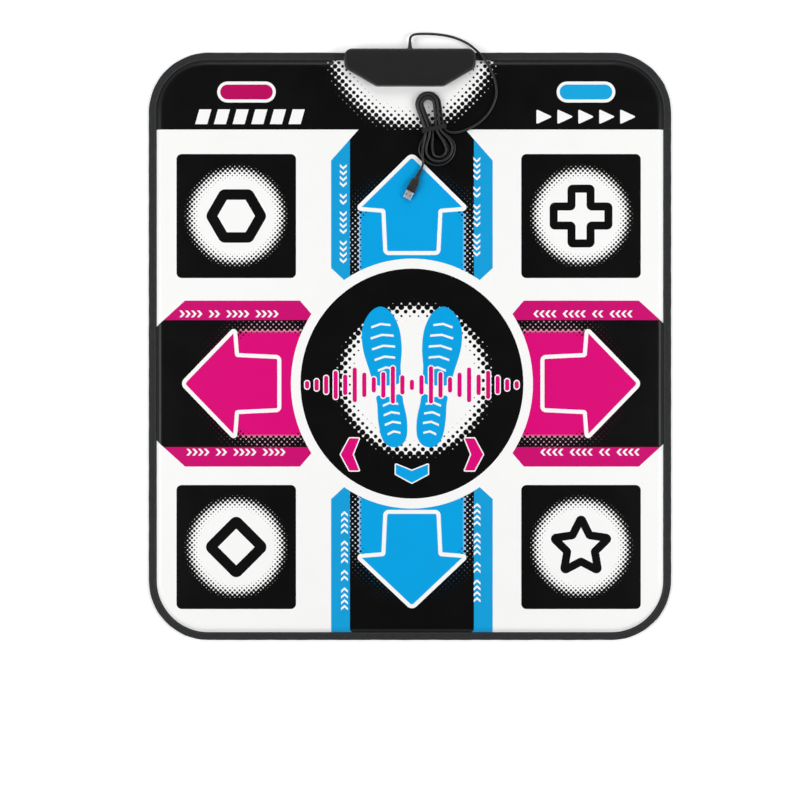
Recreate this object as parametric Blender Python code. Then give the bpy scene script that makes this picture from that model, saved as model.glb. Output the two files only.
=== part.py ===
"""Padded dance mat with ten pressure zones, a controller box on its rear edge and a lead.

The mat lies on the floor, which is z = 0, with the origin under its middle. +Y points to the
rear edge, where the controller box sits, and +Z is up. Everything is in metres.

From the floor up, the mat is a stack of sheets: a non-slip base, a foam, a film with the lower
contacts, a perforated spacer foam, a film with the upper contacts, and a printed cover. A bound
tape closes the edge. Each zone of cover and upper film can sink by the spacer foam's thickness.
"""
import math

import bmesh
import bpy
from mathutils import Matrix, Vector

# The mat's outline
MAT_WIDTH = 0.813
MAT_DEPTH = 0.914
MAT_CORNER = 0.093
CORNER_STEPS = 8

# The sheets, from the floor up, and the gap that neighbours keep
FIT = 0.0003
BASE_THICK = 0.0008
FOAM_THICK = 0.0020
FILM_THICK = 0.0003
SPACER_THICK = 0.0020
COVER_THICK = 0.0008
FOAM_INSET = 0.0205

# The tape that binds the edge
BINDING_WIDTH = 0.0125
BINDING_THICK = 0.0006
BINDING_FOLD = 0.0009
BASE_RISE = 0.0030
MARGIN_STEPS = 4

# The ring round the middle and the four arrow zones that meet it
RING_X = 0.003
RING_Y_OFFSET = 0.00225
RING_HALF_WIDTH = 0.1875
RING_HALF_DEPTH = 0.1937
RING_STEPS = 10
HEADER_DEPTH = 0.1205
ARROW_ZONE_WIDTH = 0.251
ARROW_INNER_CHAMFER = 0.020
ARROW_OUTER_CHAMFER = 0.037
ZONE_MARGIN = 0.0025
ZONE_GAP = 0.0005

# The four corner zones: their distances from the mat's sides, the header and the arrow zones
SQUARE_CORNER = 0.008
SQUARE_LEFT_MARGIN = 0.0439
SQUARE_RIGHT_MARGIN = 0.0481
SQUARE_HEADER_GAP = 0.0380
SQUARE_LEFT_GAP = 0.0545
SQUARE_REAR_GAP = 0.0384
SQUARE_FRONT_GAP = 0.0320

# The two pill-shaped keys in the header: their distances from the mat's sides and rear edge
PILL_WIDTH = 0.0910
PILL_DEPTH = 0.0326
PILL_LEFT_INSET = 0.1526
PILL_RIGHT_INSET = 0.1332
PILL_REAR_INSET = 0.0622
PILL_ROUNDNESS = 0.999

# The holes of the spacer foam, through which the two films touch
HOLE_RADIUS = 0.018
PILL_HOLE_RADIUS = 0.010
HOLE_SIDES = 10
ARROW_HOLE_PITCH = 0.062
ARROW_HOLE_END = 0.0100
ARROW_HOLE_START = 0.0120
SQUARE_HOLE_MARGIN = 0.0168
PILL_HOLE_PITCH = 0.026

# The controller box
BOX_WIDTH = 0.204
BOX_DEPTH = 0.058
BOX_FRONT_WIDTH = 0.104
BOX_SIDE = 0.029
BOX_CORNER = 0.012
BOX_OVERHANG = 0.004
BOX_HEIGHT = 0.022
BOX_ROUND = 0.0030
BOX_WALL = 0.0022
BOX_STEPS = 4
CLAMPED_MAT = 0.0085
NOTCH_GAP = 0.0005
FLANGE_THICK = 0.0008
SHELL_STEP = 0.0004
SHELL_WALL = 0.0020
SHELL_FLOOR = 0.0020
SHELL_CORNER = 0.006

# The screws that close the box, and what they pass through
SCREW_SIDE_INSET = (0.020, 0.038)
SCREW_INSET_Y = (0.013, 0.031)
SCREW_RADIUS = 0.0013
SCREW_HEAD_RADIUS = 0.0030
SCREW_HEAD_HEIGHT = 0.0015
SCREW_LENGTH = 0.0125
SCREW_CLEARANCE = 0.0003
POST_RADIUS = 0.0046
SCREW_SIDES = 12

# The board, the film tails on it and the bar that clamps them
TAIL_LENGTH = 0.0105
TAIL_SLOT_SIDE = 0.0006
BOARD_SCREW_GAP = 0.0094
BOARD_TAIL_EDGE = 0.018
BOARD_DEPTH = 0.032
BOARD_THICK = 0.0016
BOARD_PLAY = 0.0008
BOARD_CORNER = 0.0015
CLAMP_END = 0.011
CLAMP_DEPTH = 0.0075
CLAMP_THICK = 0.0025
CLAMP_CORNER = 0.0018
CLAMP_SCREW_GAP = 0.006
CLAMP_SCREW_RADIUS = 0.0010
CLAMP_HEAD_RADIUS = 0.0021
CLAMP_HEAD_HEIGHT = 0.0013
CLAMP_BOSS_RADIUS = 0.0028
STAND_INSET = 0.006
STAND_RADIUS = 0.0025
CHIP_SIZE = (0.014, 0.014, 0.0020)
CHIP_X = -0.018
CRYSTAL_SIZE = (0.0110, 0.0046, 0.0035)
CRYSTAL_X = 0.006
CAPACITOR_RADIUS = 0.0031
CAPACITOR_HEIGHT = 0.0085
CAPACITOR_X = 0.026
SOCKET_SIZE = (0.0100, 0.0060, 0.0050)
BLOCK_CORNER_SHARE = 0.12

# The lead, its grommet and the route that it lies in
CORD_RADIUS = 0.0020
CORD_SPACING = 0.0060
TAIL_SPACING = 0.0055
GROMMET_NECK = 0.0030
GROMMET_FLANGE = 0.0047
GROMMET_FLANGE_THICK = 0.0016
GROMMET_TAPER = 0.0090
SLEEVE_START_WALL = 0.0014
SLEEVE_END_WALL = 0.0005
GROMMET_SIDES = 16
INNER_LEAD_RADIUS = 0.0015
LEAD_ROUTE = (
    (0.0012, 0.4801, 0.0073), (0.0044, 0.4833, 0.0066), (0.0090, 0.4848, 0.0057),
    (0.0155, 0.4855, 0.0045), (0.0255, 0.4858, 0.0031), (0.0389, 0.4854, 0.0023),
    (0.0529, 0.4838, 0.0023), (0.0672, 0.4806, 0.0023), (0.0805, 0.4755, 0.0030),
    (0.0930, 0.4683, 0.0048), (0.1037, 0.4590, 0.0070), (0.1128, 0.4487, 0.0088),
    (0.1205, 0.4378, 0.0102), (0.1268, 0.4262, 0.0104), (0.1312, 0.4145, 0.0101),
    (0.1337, 0.4030, 0.0100), (0.1340, 0.3920, 0.0100), (0.1315, 0.3805, 0.0100),
    (0.1262, 0.3685, 0.0100), (0.1185, 0.3575, 0.0100), (0.1080, 0.3475, 0.0100),
    (0.0950, 0.3393, 0.0100), (0.0840, 0.3345, 0.0100), (0.0755, 0.3321, 0.0100),
    (0.0679, 0.3313, 0.0100), (0.0631, 0.3315, 0.0101), (0.0588, 0.3327, 0.0104),
    (0.0554, 0.3350, 0.0110), (0.0530, 0.3381, 0.0115), (0.0511, 0.3434, 0.0117),
)

# The hank: its loops in two layers, drawn in at the waist by a tie
HANK_X = 0.0366
HANK_Y = 0.3371
HANK_LEAN = math.radians(13.0)
HANK_WAIST_HALF = 0.0152
HANK_REAR_RUN = 0.0392
HANK_REAR_FOLD = 0.0189
HANK_FRONT_RUN = 0.0269
HANK_FRONT_FOLD = 0.0340
HANK_WAIST_PITCH = 0.0053
HANK_REAR_PITCH = 0.0046
HANK_FRONT_PITCH = 0.0100
HANK_FRONT_SHIFT = 0.0032
HANK_START = 1 / 24
HANK_TURNS = 4 + 8 / 24
HANK_TURNS_BELOW = 2.50
LOOP_STEPS = (2, 6, 2, 3, 8, 3)
LOOP_POINTS = sum(LOOP_STEPS)
LAYER_RISE = 0.0045
WAIST_LIFT = 0.0017
WAIST_LIFT_REACH = 0.018
TIE_WIDTH = 0.0070
TIE_SIDEWAYS = 0.0008
TIE_INNER_HALF = 0.0183
TIE_THICK = 0.0008
TIE_SLACK = 0.0005
TIE_CORNER = 0.0030

# The tail of the lead and the plug at its end
TAIL_ROUTE = (
    (0.0234, 0.3392, 0.0161), (0.0242, 0.3338, 0.0163), (0.0241, 0.3275, 0.0159),
    (0.0229, 0.3208, 0.0154), (0.0209, 0.3134, 0.0149), (0.0196, 0.3058, 0.0147),
    (0.0194, 0.2984, 0.0147), (0.0199, 0.2903, 0.0144), (0.0201, 0.2830, 0.0134),
)
PLUG_X = 0.0165
PLUG_Y = 0.2725
PLUG_HEADING = math.radians(26.6)
PLUG_LENGTH = 0.036
PLUG_RIBS = 4
PLUG_NECK = 0.0025
PLUG_RELIEF = 0.013
PLUG_RELIEF_RADIUS = 0.0028
PLUG_WIDTH = 0.0150
PLUG_THICK = 0.0080
PLUG_ROUND = 0.0016
PLUG_SHELL_WIDTH = 0.0120
PLUG_SHELL_THICK = 0.0045
PLUG_SHELL_LENGTH = 0.0120
PLUG_SHELL_WALL = 0.0004
PLUG_SHELL_ROUND = 0.0007
PLUG_SHELL_INNER_ROUND = 0.0003
PLUG_TONGUE_THICK = 0.0018

# Levels that follow from the thicknesses
BINDING_HEIGHT = 2 * BINDING_THICK + BASE_THICK + COVER_THICK + 3 * FIT
BASE_EDGE_TOP = BINDING_THICK + FIT + BASE_THICK
COVER_EDGE_TOP = BASE_EDGE_TOP + FIT + COVER_THICK
FOAM_Z = BASE_THICK + FIT
LOWER_FILM_Z = FOAM_Z + FOAM_THICK + FIT
SPACER_Z = LOWER_FILM_Z + FILM_THICK + FIT
UPPER_FILM_Z = SPACER_Z + SPACER_THICK + FIT
COVER_Z = UPPER_FILM_Z + FILM_THICK + FIT
MAT_TOP = COVER_Z + COVER_THICK
SHELL_TOP = MAT_TOP
LID_RIM = SHELL_TOP + FIT
EDGE_INSET = BINDING_THICK + FIT
MARGIN_INSET = BINDING_WIDTH + FIT
FLAT_INSET = FOAM_INSET - FIT

# Places that follow from the outline
REAR_Y = MAT_DEPTH / 2
SIDE_X = MAT_WIDTH / 2
HEADER_Y = REAR_Y - HEADER_DEPTH
RING_Y = (HEADER_Y - REAR_Y) / 2 + RING_Y_OFFSET
ZONE_LEFT_X = RING_X - ARROW_ZONE_WIDTH / 2
ZONE_REAR_Y = RING_Y + ARROW_ZONE_WIDTH / 2
ZONE_FRONT_Y = RING_Y - ARROW_ZONE_WIDTH / 2
SQUARE_WIDTH = ZONE_LEFT_X - SQUARE_LEFT_GAP + SIDE_X - SQUARE_LEFT_MARGIN
SQUARE_DEPTH = HEADER_Y - SQUARE_HEADER_GAP - ZONE_REAR_Y - SQUARE_REAR_GAP
SQUARE_LEFT_X = SQUARE_LEFT_MARGIN + SQUARE_WIDTH / 2 - SIDE_X
SQUARE_RIGHT_X = SIDE_X - SQUARE_RIGHT_MARGIN - SQUARE_WIDTH / 2
SQUARE_REAR_Y = ZONE_REAR_Y + SQUARE_REAR_GAP + SQUARE_DEPTH / 2
SQUARE_FRONT_Y = ZONE_FRONT_Y - SQUARE_FRONT_GAP - SQUARE_DEPTH / 2
PILL_LEFT_X = PILL_LEFT_INSET - SIDE_X
PILL_RIGHT_X = SIDE_X - PILL_RIGHT_INSET
PILL_Y = REAR_Y - PILL_REAR_INSET
BOX_REAR_Y = REAR_Y + BOX_OVERHANG
BOX_FRONT_Y = BOX_REAR_Y - BOX_DEPTH
SHELL_FRONT_Y = BOX_FRONT_Y + CLAMPED_MAT
TAIL_END_Y = SHELL_FRONT_Y + TAIL_LENGTH
GROMMET_Z = SHELL_TOP + FIT / 2
BOARD_FRONT_Y = SHELL_FRONT_Y + SHELL_WALL + BOARD_PLAY
BOARD_Z = (LOWER_FILM_Z + FILM_THICK + UPPER_FILM_Z - BOARD_THICK) / 2
BOARD_TOP = BOARD_Z + BOARD_THICK
CLAMP_Y = BOARD_FRONT_Y + CLAMP_DEPTH / 2 + FIT
CLAMP_Z = UPPER_FILM_Z + FILM_THICK + FIT
SCREW_X = [BOX_WIDTH / 2 - inset for inset in SCREW_SIDE_INSET]
BOARD_WIDTH = 2 * (SCREW_X[-1] - POST_RADIUS - BOARD_SCREW_GAP)
TAIL_WIDTH = BOARD_WIDTH - 2 * BOARD_TAIL_EDGE
CLAMP_WIDTH = TAIL_WIDTH + 2 * CLAMP_END
CLAMP_SCREW_X = TAIL_WIDTH / 2 + CLAMP_SCREW_GAP
STAND_X = BOARD_WIDTH / 2 - STAND_INSET
PLUG_Z = MAT_TOP + FIT + PLUG_THICK / 2
CORD_ON_MAT_Z = MAT_TOP + FIT + CORD_RADIUS
BOX_CORNERS = (
    (-BOX_FRONT_WIDTH / 2, BOX_FRONT_Y), (BOX_FRONT_WIDTH / 2, BOX_FRONT_Y),
    (BOX_WIDTH / 2, BOX_REAR_Y - BOX_SIDE), (BOX_WIDTH / 2, BOX_REAR_Y),
    (-BOX_WIDTH / 2, BOX_REAR_Y), (-BOX_WIDTH / 2, BOX_REAR_Y - BOX_SIDE),
)

for old in list(bpy.data.objects):
    bpy.data.objects.remove(old, do_unlink=True)


def finish(name, colour, roughness, metallic=0.0):
    """A plain material for one kind of surface."""
    material = bpy.data.materials.new(name)
    material.use_nodes = True
    shader = material.node_tree.nodes["Principled BSDF"]
    shader.inputs["Base Color"].default_value = (*colour, 1.0)
    shader.inputs["Roughness"].default_value = roughness
    shader.inputs["Metallic"].default_value = metallic
    material.diffuse_color = (*colour, 1.0)
    return material


PRINTED_BLACK = finish("printed_vinyl_black", (0.012, 0.012, 0.013), 0.35)
PRINTED_CYAN = finish("printed_vinyl_cyan", (0.0, 0.38, 0.80), 0.35)
PRINTED_MAGENTA = finish("printed_vinyl_magenta", (0.74, 0.0, 0.195), 0.35)
BACKING = finish("non_slip_backing", (0.030, 0.030, 0.032), 0.9)
TAPE = finish("binding_tape", (0.022, 0.022, 0.023), 0.85)
FOAM = finish("white_foam", (0.80, 0.80, 0.78), 0.95)
FILM = finish("contact_film", (0.55, 0.60, 0.58), 0.25)
BOX_PLASTIC = finish("box_plastic", (0.028, 0.028, 0.029), 0.55)
BOARD_GREEN = finish("circuit_board", (0.02, 0.16, 0.06), 0.45)
CHIP_BLACK = finish("chip_epoxy", (0.015, 0.015, 0.015), 0.4)
STEEL = finish("plated_steel", (0.62, 0.62, 0.60), 0.28, 1.0)
CORD_BLACK = finish("cord_sheath", (0.014, 0.014, 0.015), 0.5)
WHITE_PLASTIC = finish("white_plastic", (0.72, 0.72, 0.70), 0.45)


def place(name, mesh, material, at=(0, 0, 0), parent=None):
    """Put a mesh into the scene as one named piece, with its round sides shaded smooth."""
    piece = bpy.data.objects.new(name, mesh)
    bpy.context.scene.collection.objects.link(piece)
    mesh.materials.append(material)
    mesh.shade_smooth()
    mesh.set_sharp_from_angle(angle=math.radians(35))
    piece.location = at
    piece.parent = parent
    return piece


def mesh_of(name, bm):
    """Close a bmesh into a mesh whose faces point outwards."""
    bmesh.ops.recalc_face_normals(bm, faces=bm.faces)
    mesh = bpy.data.meshes.new(name)
    bm.to_mesh(mesh)
    bm.free()
    return mesh


def shrunk(corners, distances):
    """The corners of a convex outline whose sides move inwards, each by its own distance."""
    count = len(corners)
    lines = []
    for i in range(count):
        start = Vector(corners[i])
        side = (Vector(corners[(i + 1) % count]) - start).normalized()
        inwards = Vector((-side.y, side.x))
        lines.append((start + inwards * distances[i], side))
    moved = []
    for i in range(count):
        start, side = lines[i - 1]
        other, other_side = lines[i]
        turn = side.x * other_side.y - side.y * other_side.x
        gap = other - start
        along = (gap.x * other_side.y - gap.y * other_side.x) / turn
        moved.append(start + side * along)
    return moved


def rounded(corners, radii, steps):
    """A convex outline with each corner turned into an arc of its own radius."""
    count = len(corners)
    points = []
    for i in range(count):
        corner = Vector(corners[i])
        back = (Vector(corners[i - 1]) - corner).normalized()
        ahead = (Vector(corners[(i + 1) % count]) - corner).normalized()
        half = back.angle(ahead) / 2
        centre = corner + (back + ahead).normalized() * radii[i] / math.sin(half)
        start = corner + back * radii[i] / math.tan(half) - centre
        sweep = math.pi - 2 * half
        for k in range(steps + 1):
            angle = sweep * k / steps
            turned = Matrix.Rotation(angle, 2) @ start
            points.append(centre + turned)
    return points


def rectangle(width, depth, radius, steps, centre=(0.0, 0.0)):
    """A rounded rectangle about a centre, anticlockwise."""
    x, y = centre
    half_width = width / 2
    half_depth = depth / 2
    corners = (
        (x - half_width, y - half_depth), (x + half_width, y - half_depth),
        (x + half_width, y + half_depth), (x - half_width, y + half_depth),
    )
    return rounded(corners, (radius,) * 4, steps)


def circle(radius, sides, centre=(0.0, 0.0)):
    """A round outline, anticlockwise, with a flat side towards +X."""
    x, y = centre
    angles = [2 * math.pi * (k + 0.5) / sides for k in range(sides)]
    return [Vector((x + radius * math.cos(a), y + radius * math.sin(a))) for a in angles]


def mat_outline(inset):
    """The mat's own outline, moved inwards."""
    return rectangle(
        MAT_WIDTH - 2 * inset, MAT_DEPTH - 2 * inset, MAT_CORNER - inset, CORNER_STEPS
    )


def box_outline(inset):
    """The controller box's outline, moved inwards, or outwards where inset is negative."""
    corners = shrunk(BOX_CORNERS, (inset,) * 6)
    return rounded(corners, (BOX_CORNER - inset,) * 6, BOX_STEPS)


def shell_outline(inset):
    """The walls of the bottom shell: set back at the front, where the lid clamps the mat."""
    front = CLAMPED_MAT + inset
    side = SHELL_STEP + inset
    corners = shrunk(BOX_CORNERS, (front, front, side, side, side, front))
    small = SHELL_CORNER - inset
    large = BOX_CORNER - side
    return rounded(corners, (small, small, small, large, large, small), BOX_STEPS)


def raised(outline, z):
    """An outline's points at a height."""
    return [Vector((p[0], p[1], z)) for p in outline]


def add_ring(bm, points):
    """The vertices of one closed loop."""
    return [bm.verts.new(p) for p in points]


def join_rings(bm, lower, upper):
    """A band of faces between two loops with as many points each."""
    count = len(lower)
    for i in range(count):
        j = (i + 1) % count
        bm.faces.new((lower[i], lower[j], upper[j], upper[i]))


def loft(bm, rings, closed=False):
    """A body through a row of loops: capped at both ends, or closed round on itself."""
    loops = [add_ring(bm, ring) for ring in rings]
    for lower, upper in zip(loops, loops[1:]):
        join_rings(bm, lower, upper)
    if closed:
        join_rings(bm, loops[-1], loops[0])
        return
    bm.faces.new(loops[0])
    bm.faces.new(loops[-1])


def lofted(name, rings, closed=False):
    """A mesh of one lofted body."""
    bm = bmesh.new()
    loft(bm, rings, closed)
    return mesh_of(name, bm)


def prism(bm, outline, bottom, top):
    """An outline carried straight up."""
    loft(bm, [raised(outline, bottom), raised(outline, top)])


def block(bm, size, centre, bottom):
    """A plain block with small rounded corners, standing at a height."""
    corner = min(size[0], size[1]) * BLOCK_CORNER_SHARE
    outline = rectangle(size[0], size[1], corner, 2, centre)
    prism(bm, outline, bottom, bottom + size[2])


def sheet(name, rings, holes, thick):
    """A sheet from its top surface: loops from the edge inwards, a flat middle and its holes."""
    bm = bmesh.new()
    loops = [add_ring(bm, ring) for ring in rings]
    for outer, inner in zip(loops, loops[1:]):
        join_rings(bm, outer, inner)
    level = rings[-1][0].z
    borders = [loops[-1]] + [add_ring(bm, raised(hole, level)) for hole in holes]
    edges = []
    for border in borders:
        for a, b in zip(border, border[1:] + border[:1]):
            edges.append(bm.edges.get((a, b)) or bm.edges.new((a, b)))
    bmesh.ops.triangle_fill(bm, use_beauty=True, edges=edges)
    copied = bmesh.ops.extrude_face_region(bm, geom=list(bm.faces))
    lower = [v for v in copied["geom"] if isinstance(v, bmesh.types.BMVert)]
    bmesh.ops.translate(bm, verts=lower, vec=(0, 0, -thick))
    return mesh_of(name, bm)


def plate(name, outline, holes, bottom, thick):
    """A flat sheet with holes."""
    return sheet(name, [raised(outline, bottom + thick)], holes, thick)


def hidden_tool(name, bm):
    """A body that only shapes others, and isn't a piece of the mat."""
    tool = bpy.data.objects.new(name, mesh_of(name, bm))
    bpy.context.scene.collection.objects.link(tool)
    tool.hide_render = True
    tool.display_type = 'WIRE'
    return tool


def combine(piece, tool, operation):
    """Cut a tool out of a piece, or join it on."""
    step = piece.modifiers.new(f"{operation.lower()}_{tool.name}", 'BOOLEAN')
    step.operation = operation
    step.object = tool


def arrow_zone(turn, reach, grow):
    """An arrow zone: straight sides, cut corners and an inner edge that follows the ring.

    The zone points along +Y before it is turned; grow moves its whole edge outwards.
    """
    sideways = abs(round(math.sin(turn))) == 1
    along = RING_HALF_WIDTH if sideways else RING_HALF_DEPTH
    across = RING_HALF_DEPTH if sideways else RING_HALF_WIDTH
    half = ARROW_ZONE_WIDTH / 2
    inner_half = half - ARROW_INNER_CHAMFER
    inner = along * math.sqrt(1 - (inner_half / across) ** 2)
    inner_side = inner + ARROW_INNER_CHAMFER
    outer_half = half - ARROW_OUTER_CHAMFER
    outer_side = reach - ARROW_OUTER_CHAMFER
    corners = (
        (-inner_half, inner), (inner_half, inner), (half, inner_side), (half, outer_side),
        (outer_half, reach), (-outer_half, reach), (-half, outer_side), (-half, inner_side),
    )
    moved = shrunk(corners, (-grow,) * 8)
    edge_half = moved[1].x
    arc = []
    for k in range(RING_STEPS + 1):
        x = edge_half * (2 * k / RING_STEPS - 1)
        y = (along - grow) * math.sqrt(1 - (x / (across - grow)) ** 2)
        arc.append(Vector((x, y)))
    local = arc + moved[2:]
    spin = Matrix.Rotation(turn, 2)
    return [spin @ p + Vector((RING_X, RING_Y)) for p in local]


def arrow_holes(turn, reach):
    """Nine holes under an arrow zone, in rows along it."""
    ring = RING_HALF_WIDTH if abs(round(math.sin(turn))) == 1 else RING_HALF_DEPTH
    first = ring + ARROW_HOLE_START + HOLE_RADIUS
    row_pitch = (reach - ARROW_HOLE_END - HOLE_RADIUS - first) / 2
    spin = Matrix.Rotation(turn, 2)
    centres = []
    for row in range(3):
        for column in (-1, 0, 1):
            spot = Vector((column * ARROW_HOLE_PITCH, first + row * row_pitch))
            centres.append(spin @ spot + Vector((RING_X, RING_Y)))
    return [circle(HOLE_RADIUS, HOLE_SIDES, c) for c in centres]


def square_zone(x, y, grow):
    """A corner zone."""
    return rectangle(
        SQUARE_WIDTH + 2 * grow, SQUARE_DEPTH + 2 * grow, SQUARE_CORNER + grow, 3, (x, y)
    )


def square_holes(x, y):
    """Nine holes under a corner zone."""
    across = SQUARE_WIDTH / 2 - SQUARE_HOLE_MARGIN - HOLE_RADIUS
    along = SQUARE_DEPTH / 2 - SQUARE_HOLE_MARGIN - HOLE_RADIUS
    return [
        circle(HOLE_RADIUS, HOLE_SIDES, (x + across * column, y + along * row))
        for column in (-1, 0, 1) for row in (-1, 0, 1)
    ]


def pill_zone(x, grow):
    """A key in the header, with round ends."""
    depth = PILL_DEPTH + 2 * grow
    return rectangle(PILL_WIDTH + 2 * grow, depth, depth / 2 * PILL_ROUNDNESS, 5, (x, PILL_Y))


def pill_holes(x):
    """Three holes under a header key."""
    steps = (-PILL_HOLE_PITCH, 0, PILL_HOLE_PITCH)
    return [circle(PILL_HOLE_RADIUS, HOLE_SIDES, (x + a, PILL_Y)) for a in steps]


# How far each arrow zone reaches from the ring's middle, and which way it points
SIDE_REACH = SIDE_X - FLAT_INSET - ZONE_MARGIN
ARROWS = {
    "up": (0.0, HEADER_Y - RING_Y),
    "left": (math.pi / 2, SIDE_REACH + RING_X),
    "down": (math.pi, REAR_Y - FLAT_INSET - ZONE_MARGIN + RING_Y),
    "right": (-math.pi / 2, SIDE_REACH - RING_X),
}
SQUARES = {
    "rear_left": (SQUARE_LEFT_X, SQUARE_REAR_Y),
    "rear_right": (SQUARE_RIGHT_X, SQUARE_REAR_Y),
    "front_left": (SQUARE_LEFT_X, SQUARE_FRONT_Y),
    "front_right": (SQUARE_RIGHT_X, SQUARE_FRONT_Y),
}
PILLS = {"select": PILL_LEFT_X, "start": PILL_RIGHT_X}


def zone_outlines(grow):
    """The outline of each of the ten zones, by name."""
    outlines = {name: arrow_zone(turn, reach, grow) for name, (turn, reach) in ARROWS.items()}
    outlines.update({name: square_zone(x, y, grow) for name, (x, y) in SQUARES.items()})
    outlines.update({name: pill_zone(x, grow) for name, x in PILLS.items()})
    return outlines


def foam_holes():
    """All holes of the spacer foam."""
    holes = []
    for turn, reach in ARROWS.values():
        holes += arrow_holes(turn, reach)
    for x, y in SQUARES.values():
        holes += square_holes(x, y)
    for x in PILLS.values():
        holes += pill_holes(x)
    return holes


# The notches that the box takes out of the sheets
BEYOND = 0.010
tool_mesh = bmesh.new()
prism(tool_mesh, box_outline(-NOTCH_GAP), -BEYOND, MAT_TOP + BEYOND)
box_notch = hidden_tool("box_notch", tool_mesh)

tool_mesh = bmesh.new()
prism(tool_mesh, shell_outline(-NOTCH_GAP), -BEYOND, MAT_TOP + BEYOND)
shell_notch = hidden_tool("shell_notch", tool_mesh)

tool_mesh = bmesh.new()
front_points = shell_outline(-NOTCH_GAP)
lowest = min(p.y for p in front_points)
left_part = [p for p in front_points if p.x < 0]
right_part = [p for p in front_points if p.x > 0]
left_front = max((p for p in left_part if p.y < lowest + FIT), key=lambda p: p.x)
split = left_part.index(left_front) + 1
tail_notch_outline = (
    left_part[:split]
    + [Vector((-TAIL_WIDTH / 2, lowest)), Vector((-TAIL_WIDTH / 2, TAIL_END_Y))]
    + [Vector((TAIL_WIDTH / 2, TAIL_END_Y)), Vector((TAIL_WIDTH / 2, lowest))]
    + right_part
    + left_part[split:]
)
prism(tool_mesh, tail_notch_outline, -BEYOND, MAT_TOP + BEYOND)
tail_notch = hidden_tool("tail_notch", tool_mesh)

# Non-slip base: flat on the floor, its margin lifted over the folded tape
base_rings = [
    raised(mat_outline(EDGE_INSET), BASE_EDGE_TOP),
    raised(mat_outline(MARGIN_INSET), BASE_EDGE_TOP),
    raised(mat_outline(MARGIN_INSET + BASE_RISE), BASE_THICK),
]
base = place("non_slip_base", sheet("non_slip_base", base_rings, [], BASE_THICK), BACKING)
combine(base, box_notch, 'DIFFERENCE')

# Base foam, the padding under the lower film
inner_outline = mat_outline(FOAM_INSET)
foam = place("base_foam", plate("base_foam", inner_outline, [], FOAM_Z, FOAM_THICK), FOAM)
combine(foam, shell_notch, 'DIFFERENCE')

# Lower film, whose tail runs into the box and on under the board
lower_film = plate("lower_membrane", inner_outline, [], LOWER_FILM_Z, FILM_THICK)
lower_membrane = place("lower_membrane", lower_film, FILM)
combine(lower_membrane, tail_notch, 'DIFFERENCE')

# Spacer foam, which holds the films apart except at its holes
spacer = plate("spacer_foam", inner_outline, foam_holes(), SPACER_Z, SPACER_THICK)
spacer_foam = place("spacer_foam", spacer, FOAM)
combine(spacer_foam, shell_notch, 'DIFFERENCE')

# Upper film, open where its ten contact areas sink, with its tail over the board
windows = list(zone_outlines(ZONE_GAP / 2).values())
upper_film = plate("upper_membrane", inner_outline, windows, UPPER_FILM_Z, FILM_THICK)
upper_membrane = place("upper_membrane", upper_film, FILM)
combine(upper_membrane, tail_notch, 'DIFFERENCE')

# Printed cover: its margin curves down into the tape, and the ten zones are open in it
cover_rings = [raised(mat_outline(EDGE_INSET), COVER_EDGE_TOP)]
for step in range(MARGIN_STEPS + 1):
    share = step / MARGIN_STEPS
    inset = MARGIN_INSET + (FLAT_INSET - MARGIN_INSET) * share
    rise = math.sin(share * math.pi / 2)
    cover_rings.append(raised(mat_outline(inset), COVER_EDGE_TOP + (MAT_TOP - COVER_EDGE_TOP) * rise))
cover = place("top_cover", sheet("top_cover", cover_rings, windows, COVER_THICK), PRINTED_BLACK)
combine(cover, shell_notch, 'DIFFERENCE')

# Binding tape, folded round the edge of base and cover
binding_profile = (
    (BINDING_WIDTH, 0.0), (BINDING_FOLD, 0.0), (0.0, BINDING_FOLD),
    (0.0, BINDING_HEIGHT - BINDING_FOLD), (BINDING_FOLD, BINDING_HEIGHT),
    (BINDING_WIDTH, BINDING_HEIGHT), (BINDING_WIDTH, BINDING_HEIGHT - BINDING_THICK),
    (BINDING_THICK, BINDING_HEIGHT - BINDING_THICK), (BINDING_THICK, BINDING_THICK),
    (BINDING_WIDTH, BINDING_THICK),
)
binding_rings = [raised(mat_outline(inset), z) for inset, z in binding_profile]
binding = place("edge_binding", lofted("edge_binding", binding_rings, closed=True), TAPE)
combine(binding, box_notch, 'DIFFERENCE')

# The ten zones: a piece of cover and a piece of upper film each, on one empty that sinks
ZONE_COLOURS = {
    "up": PRINTED_CYAN, "down": PRINTED_CYAN, "left": PRINTED_MAGENTA,
    "right": PRINTED_MAGENTA, "select": PRINTED_MAGENTA, "start": PRINTED_CYAN,
}
for zone, outline in zone_outlines(-ZONE_GAP / 2).items():
    middle = sum(outline, Vector((0.0, 0.0))) / len(outline)
    spot = bpy.data.objects.new(f"{zone}_press", None)
    bpy.context.scene.collection.objects.link(spot)
    spot.location = (middle.x, middle.y, MAT_TOP)
    around = [p - middle for p in outline]
    panel_mesh = plate(f"{zone}_step_panel", around, [], -COVER_THICK, COVER_THICK)
    place(panel_mesh.name, panel_mesh, ZONE_COLOURS.get(zone, PRINTED_BLACK), parent=spot)
    film_mesh = plate(f"{zone}_contact_film", around, [], UPPER_FILM_Z - MAT_TOP, FILM_THICK)
    place(film_mesh.name, film_mesh, FILM, parent=spot)

# Where the box's screws stand, and where the clamp's
screw_spots = []
for side in (-1, 1):
    for x, inset in zip(SCREW_X, SCREW_INSET_Y):
        screw_spots.append((side * x, BOX_REAR_Y - inset))
clamp_spots = [(side * CLAMP_SCREW_X, CLAMP_Y) for side in (-1, 1)]
HEAD_SEAT = SCREW_HEAD_HEIGHT + 3 * FIT
BOSS_TOP = BOX_HEIGHT - BOX_WALL
STAND_TOP = BOARD_Z - FIT
LEDGE_TOP = LOWER_FILM_Z - FIT
STAND_Y = BOARD_FRONT_Y + BOARD_DEPTH - STAND_RADIUS - FIT

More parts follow.
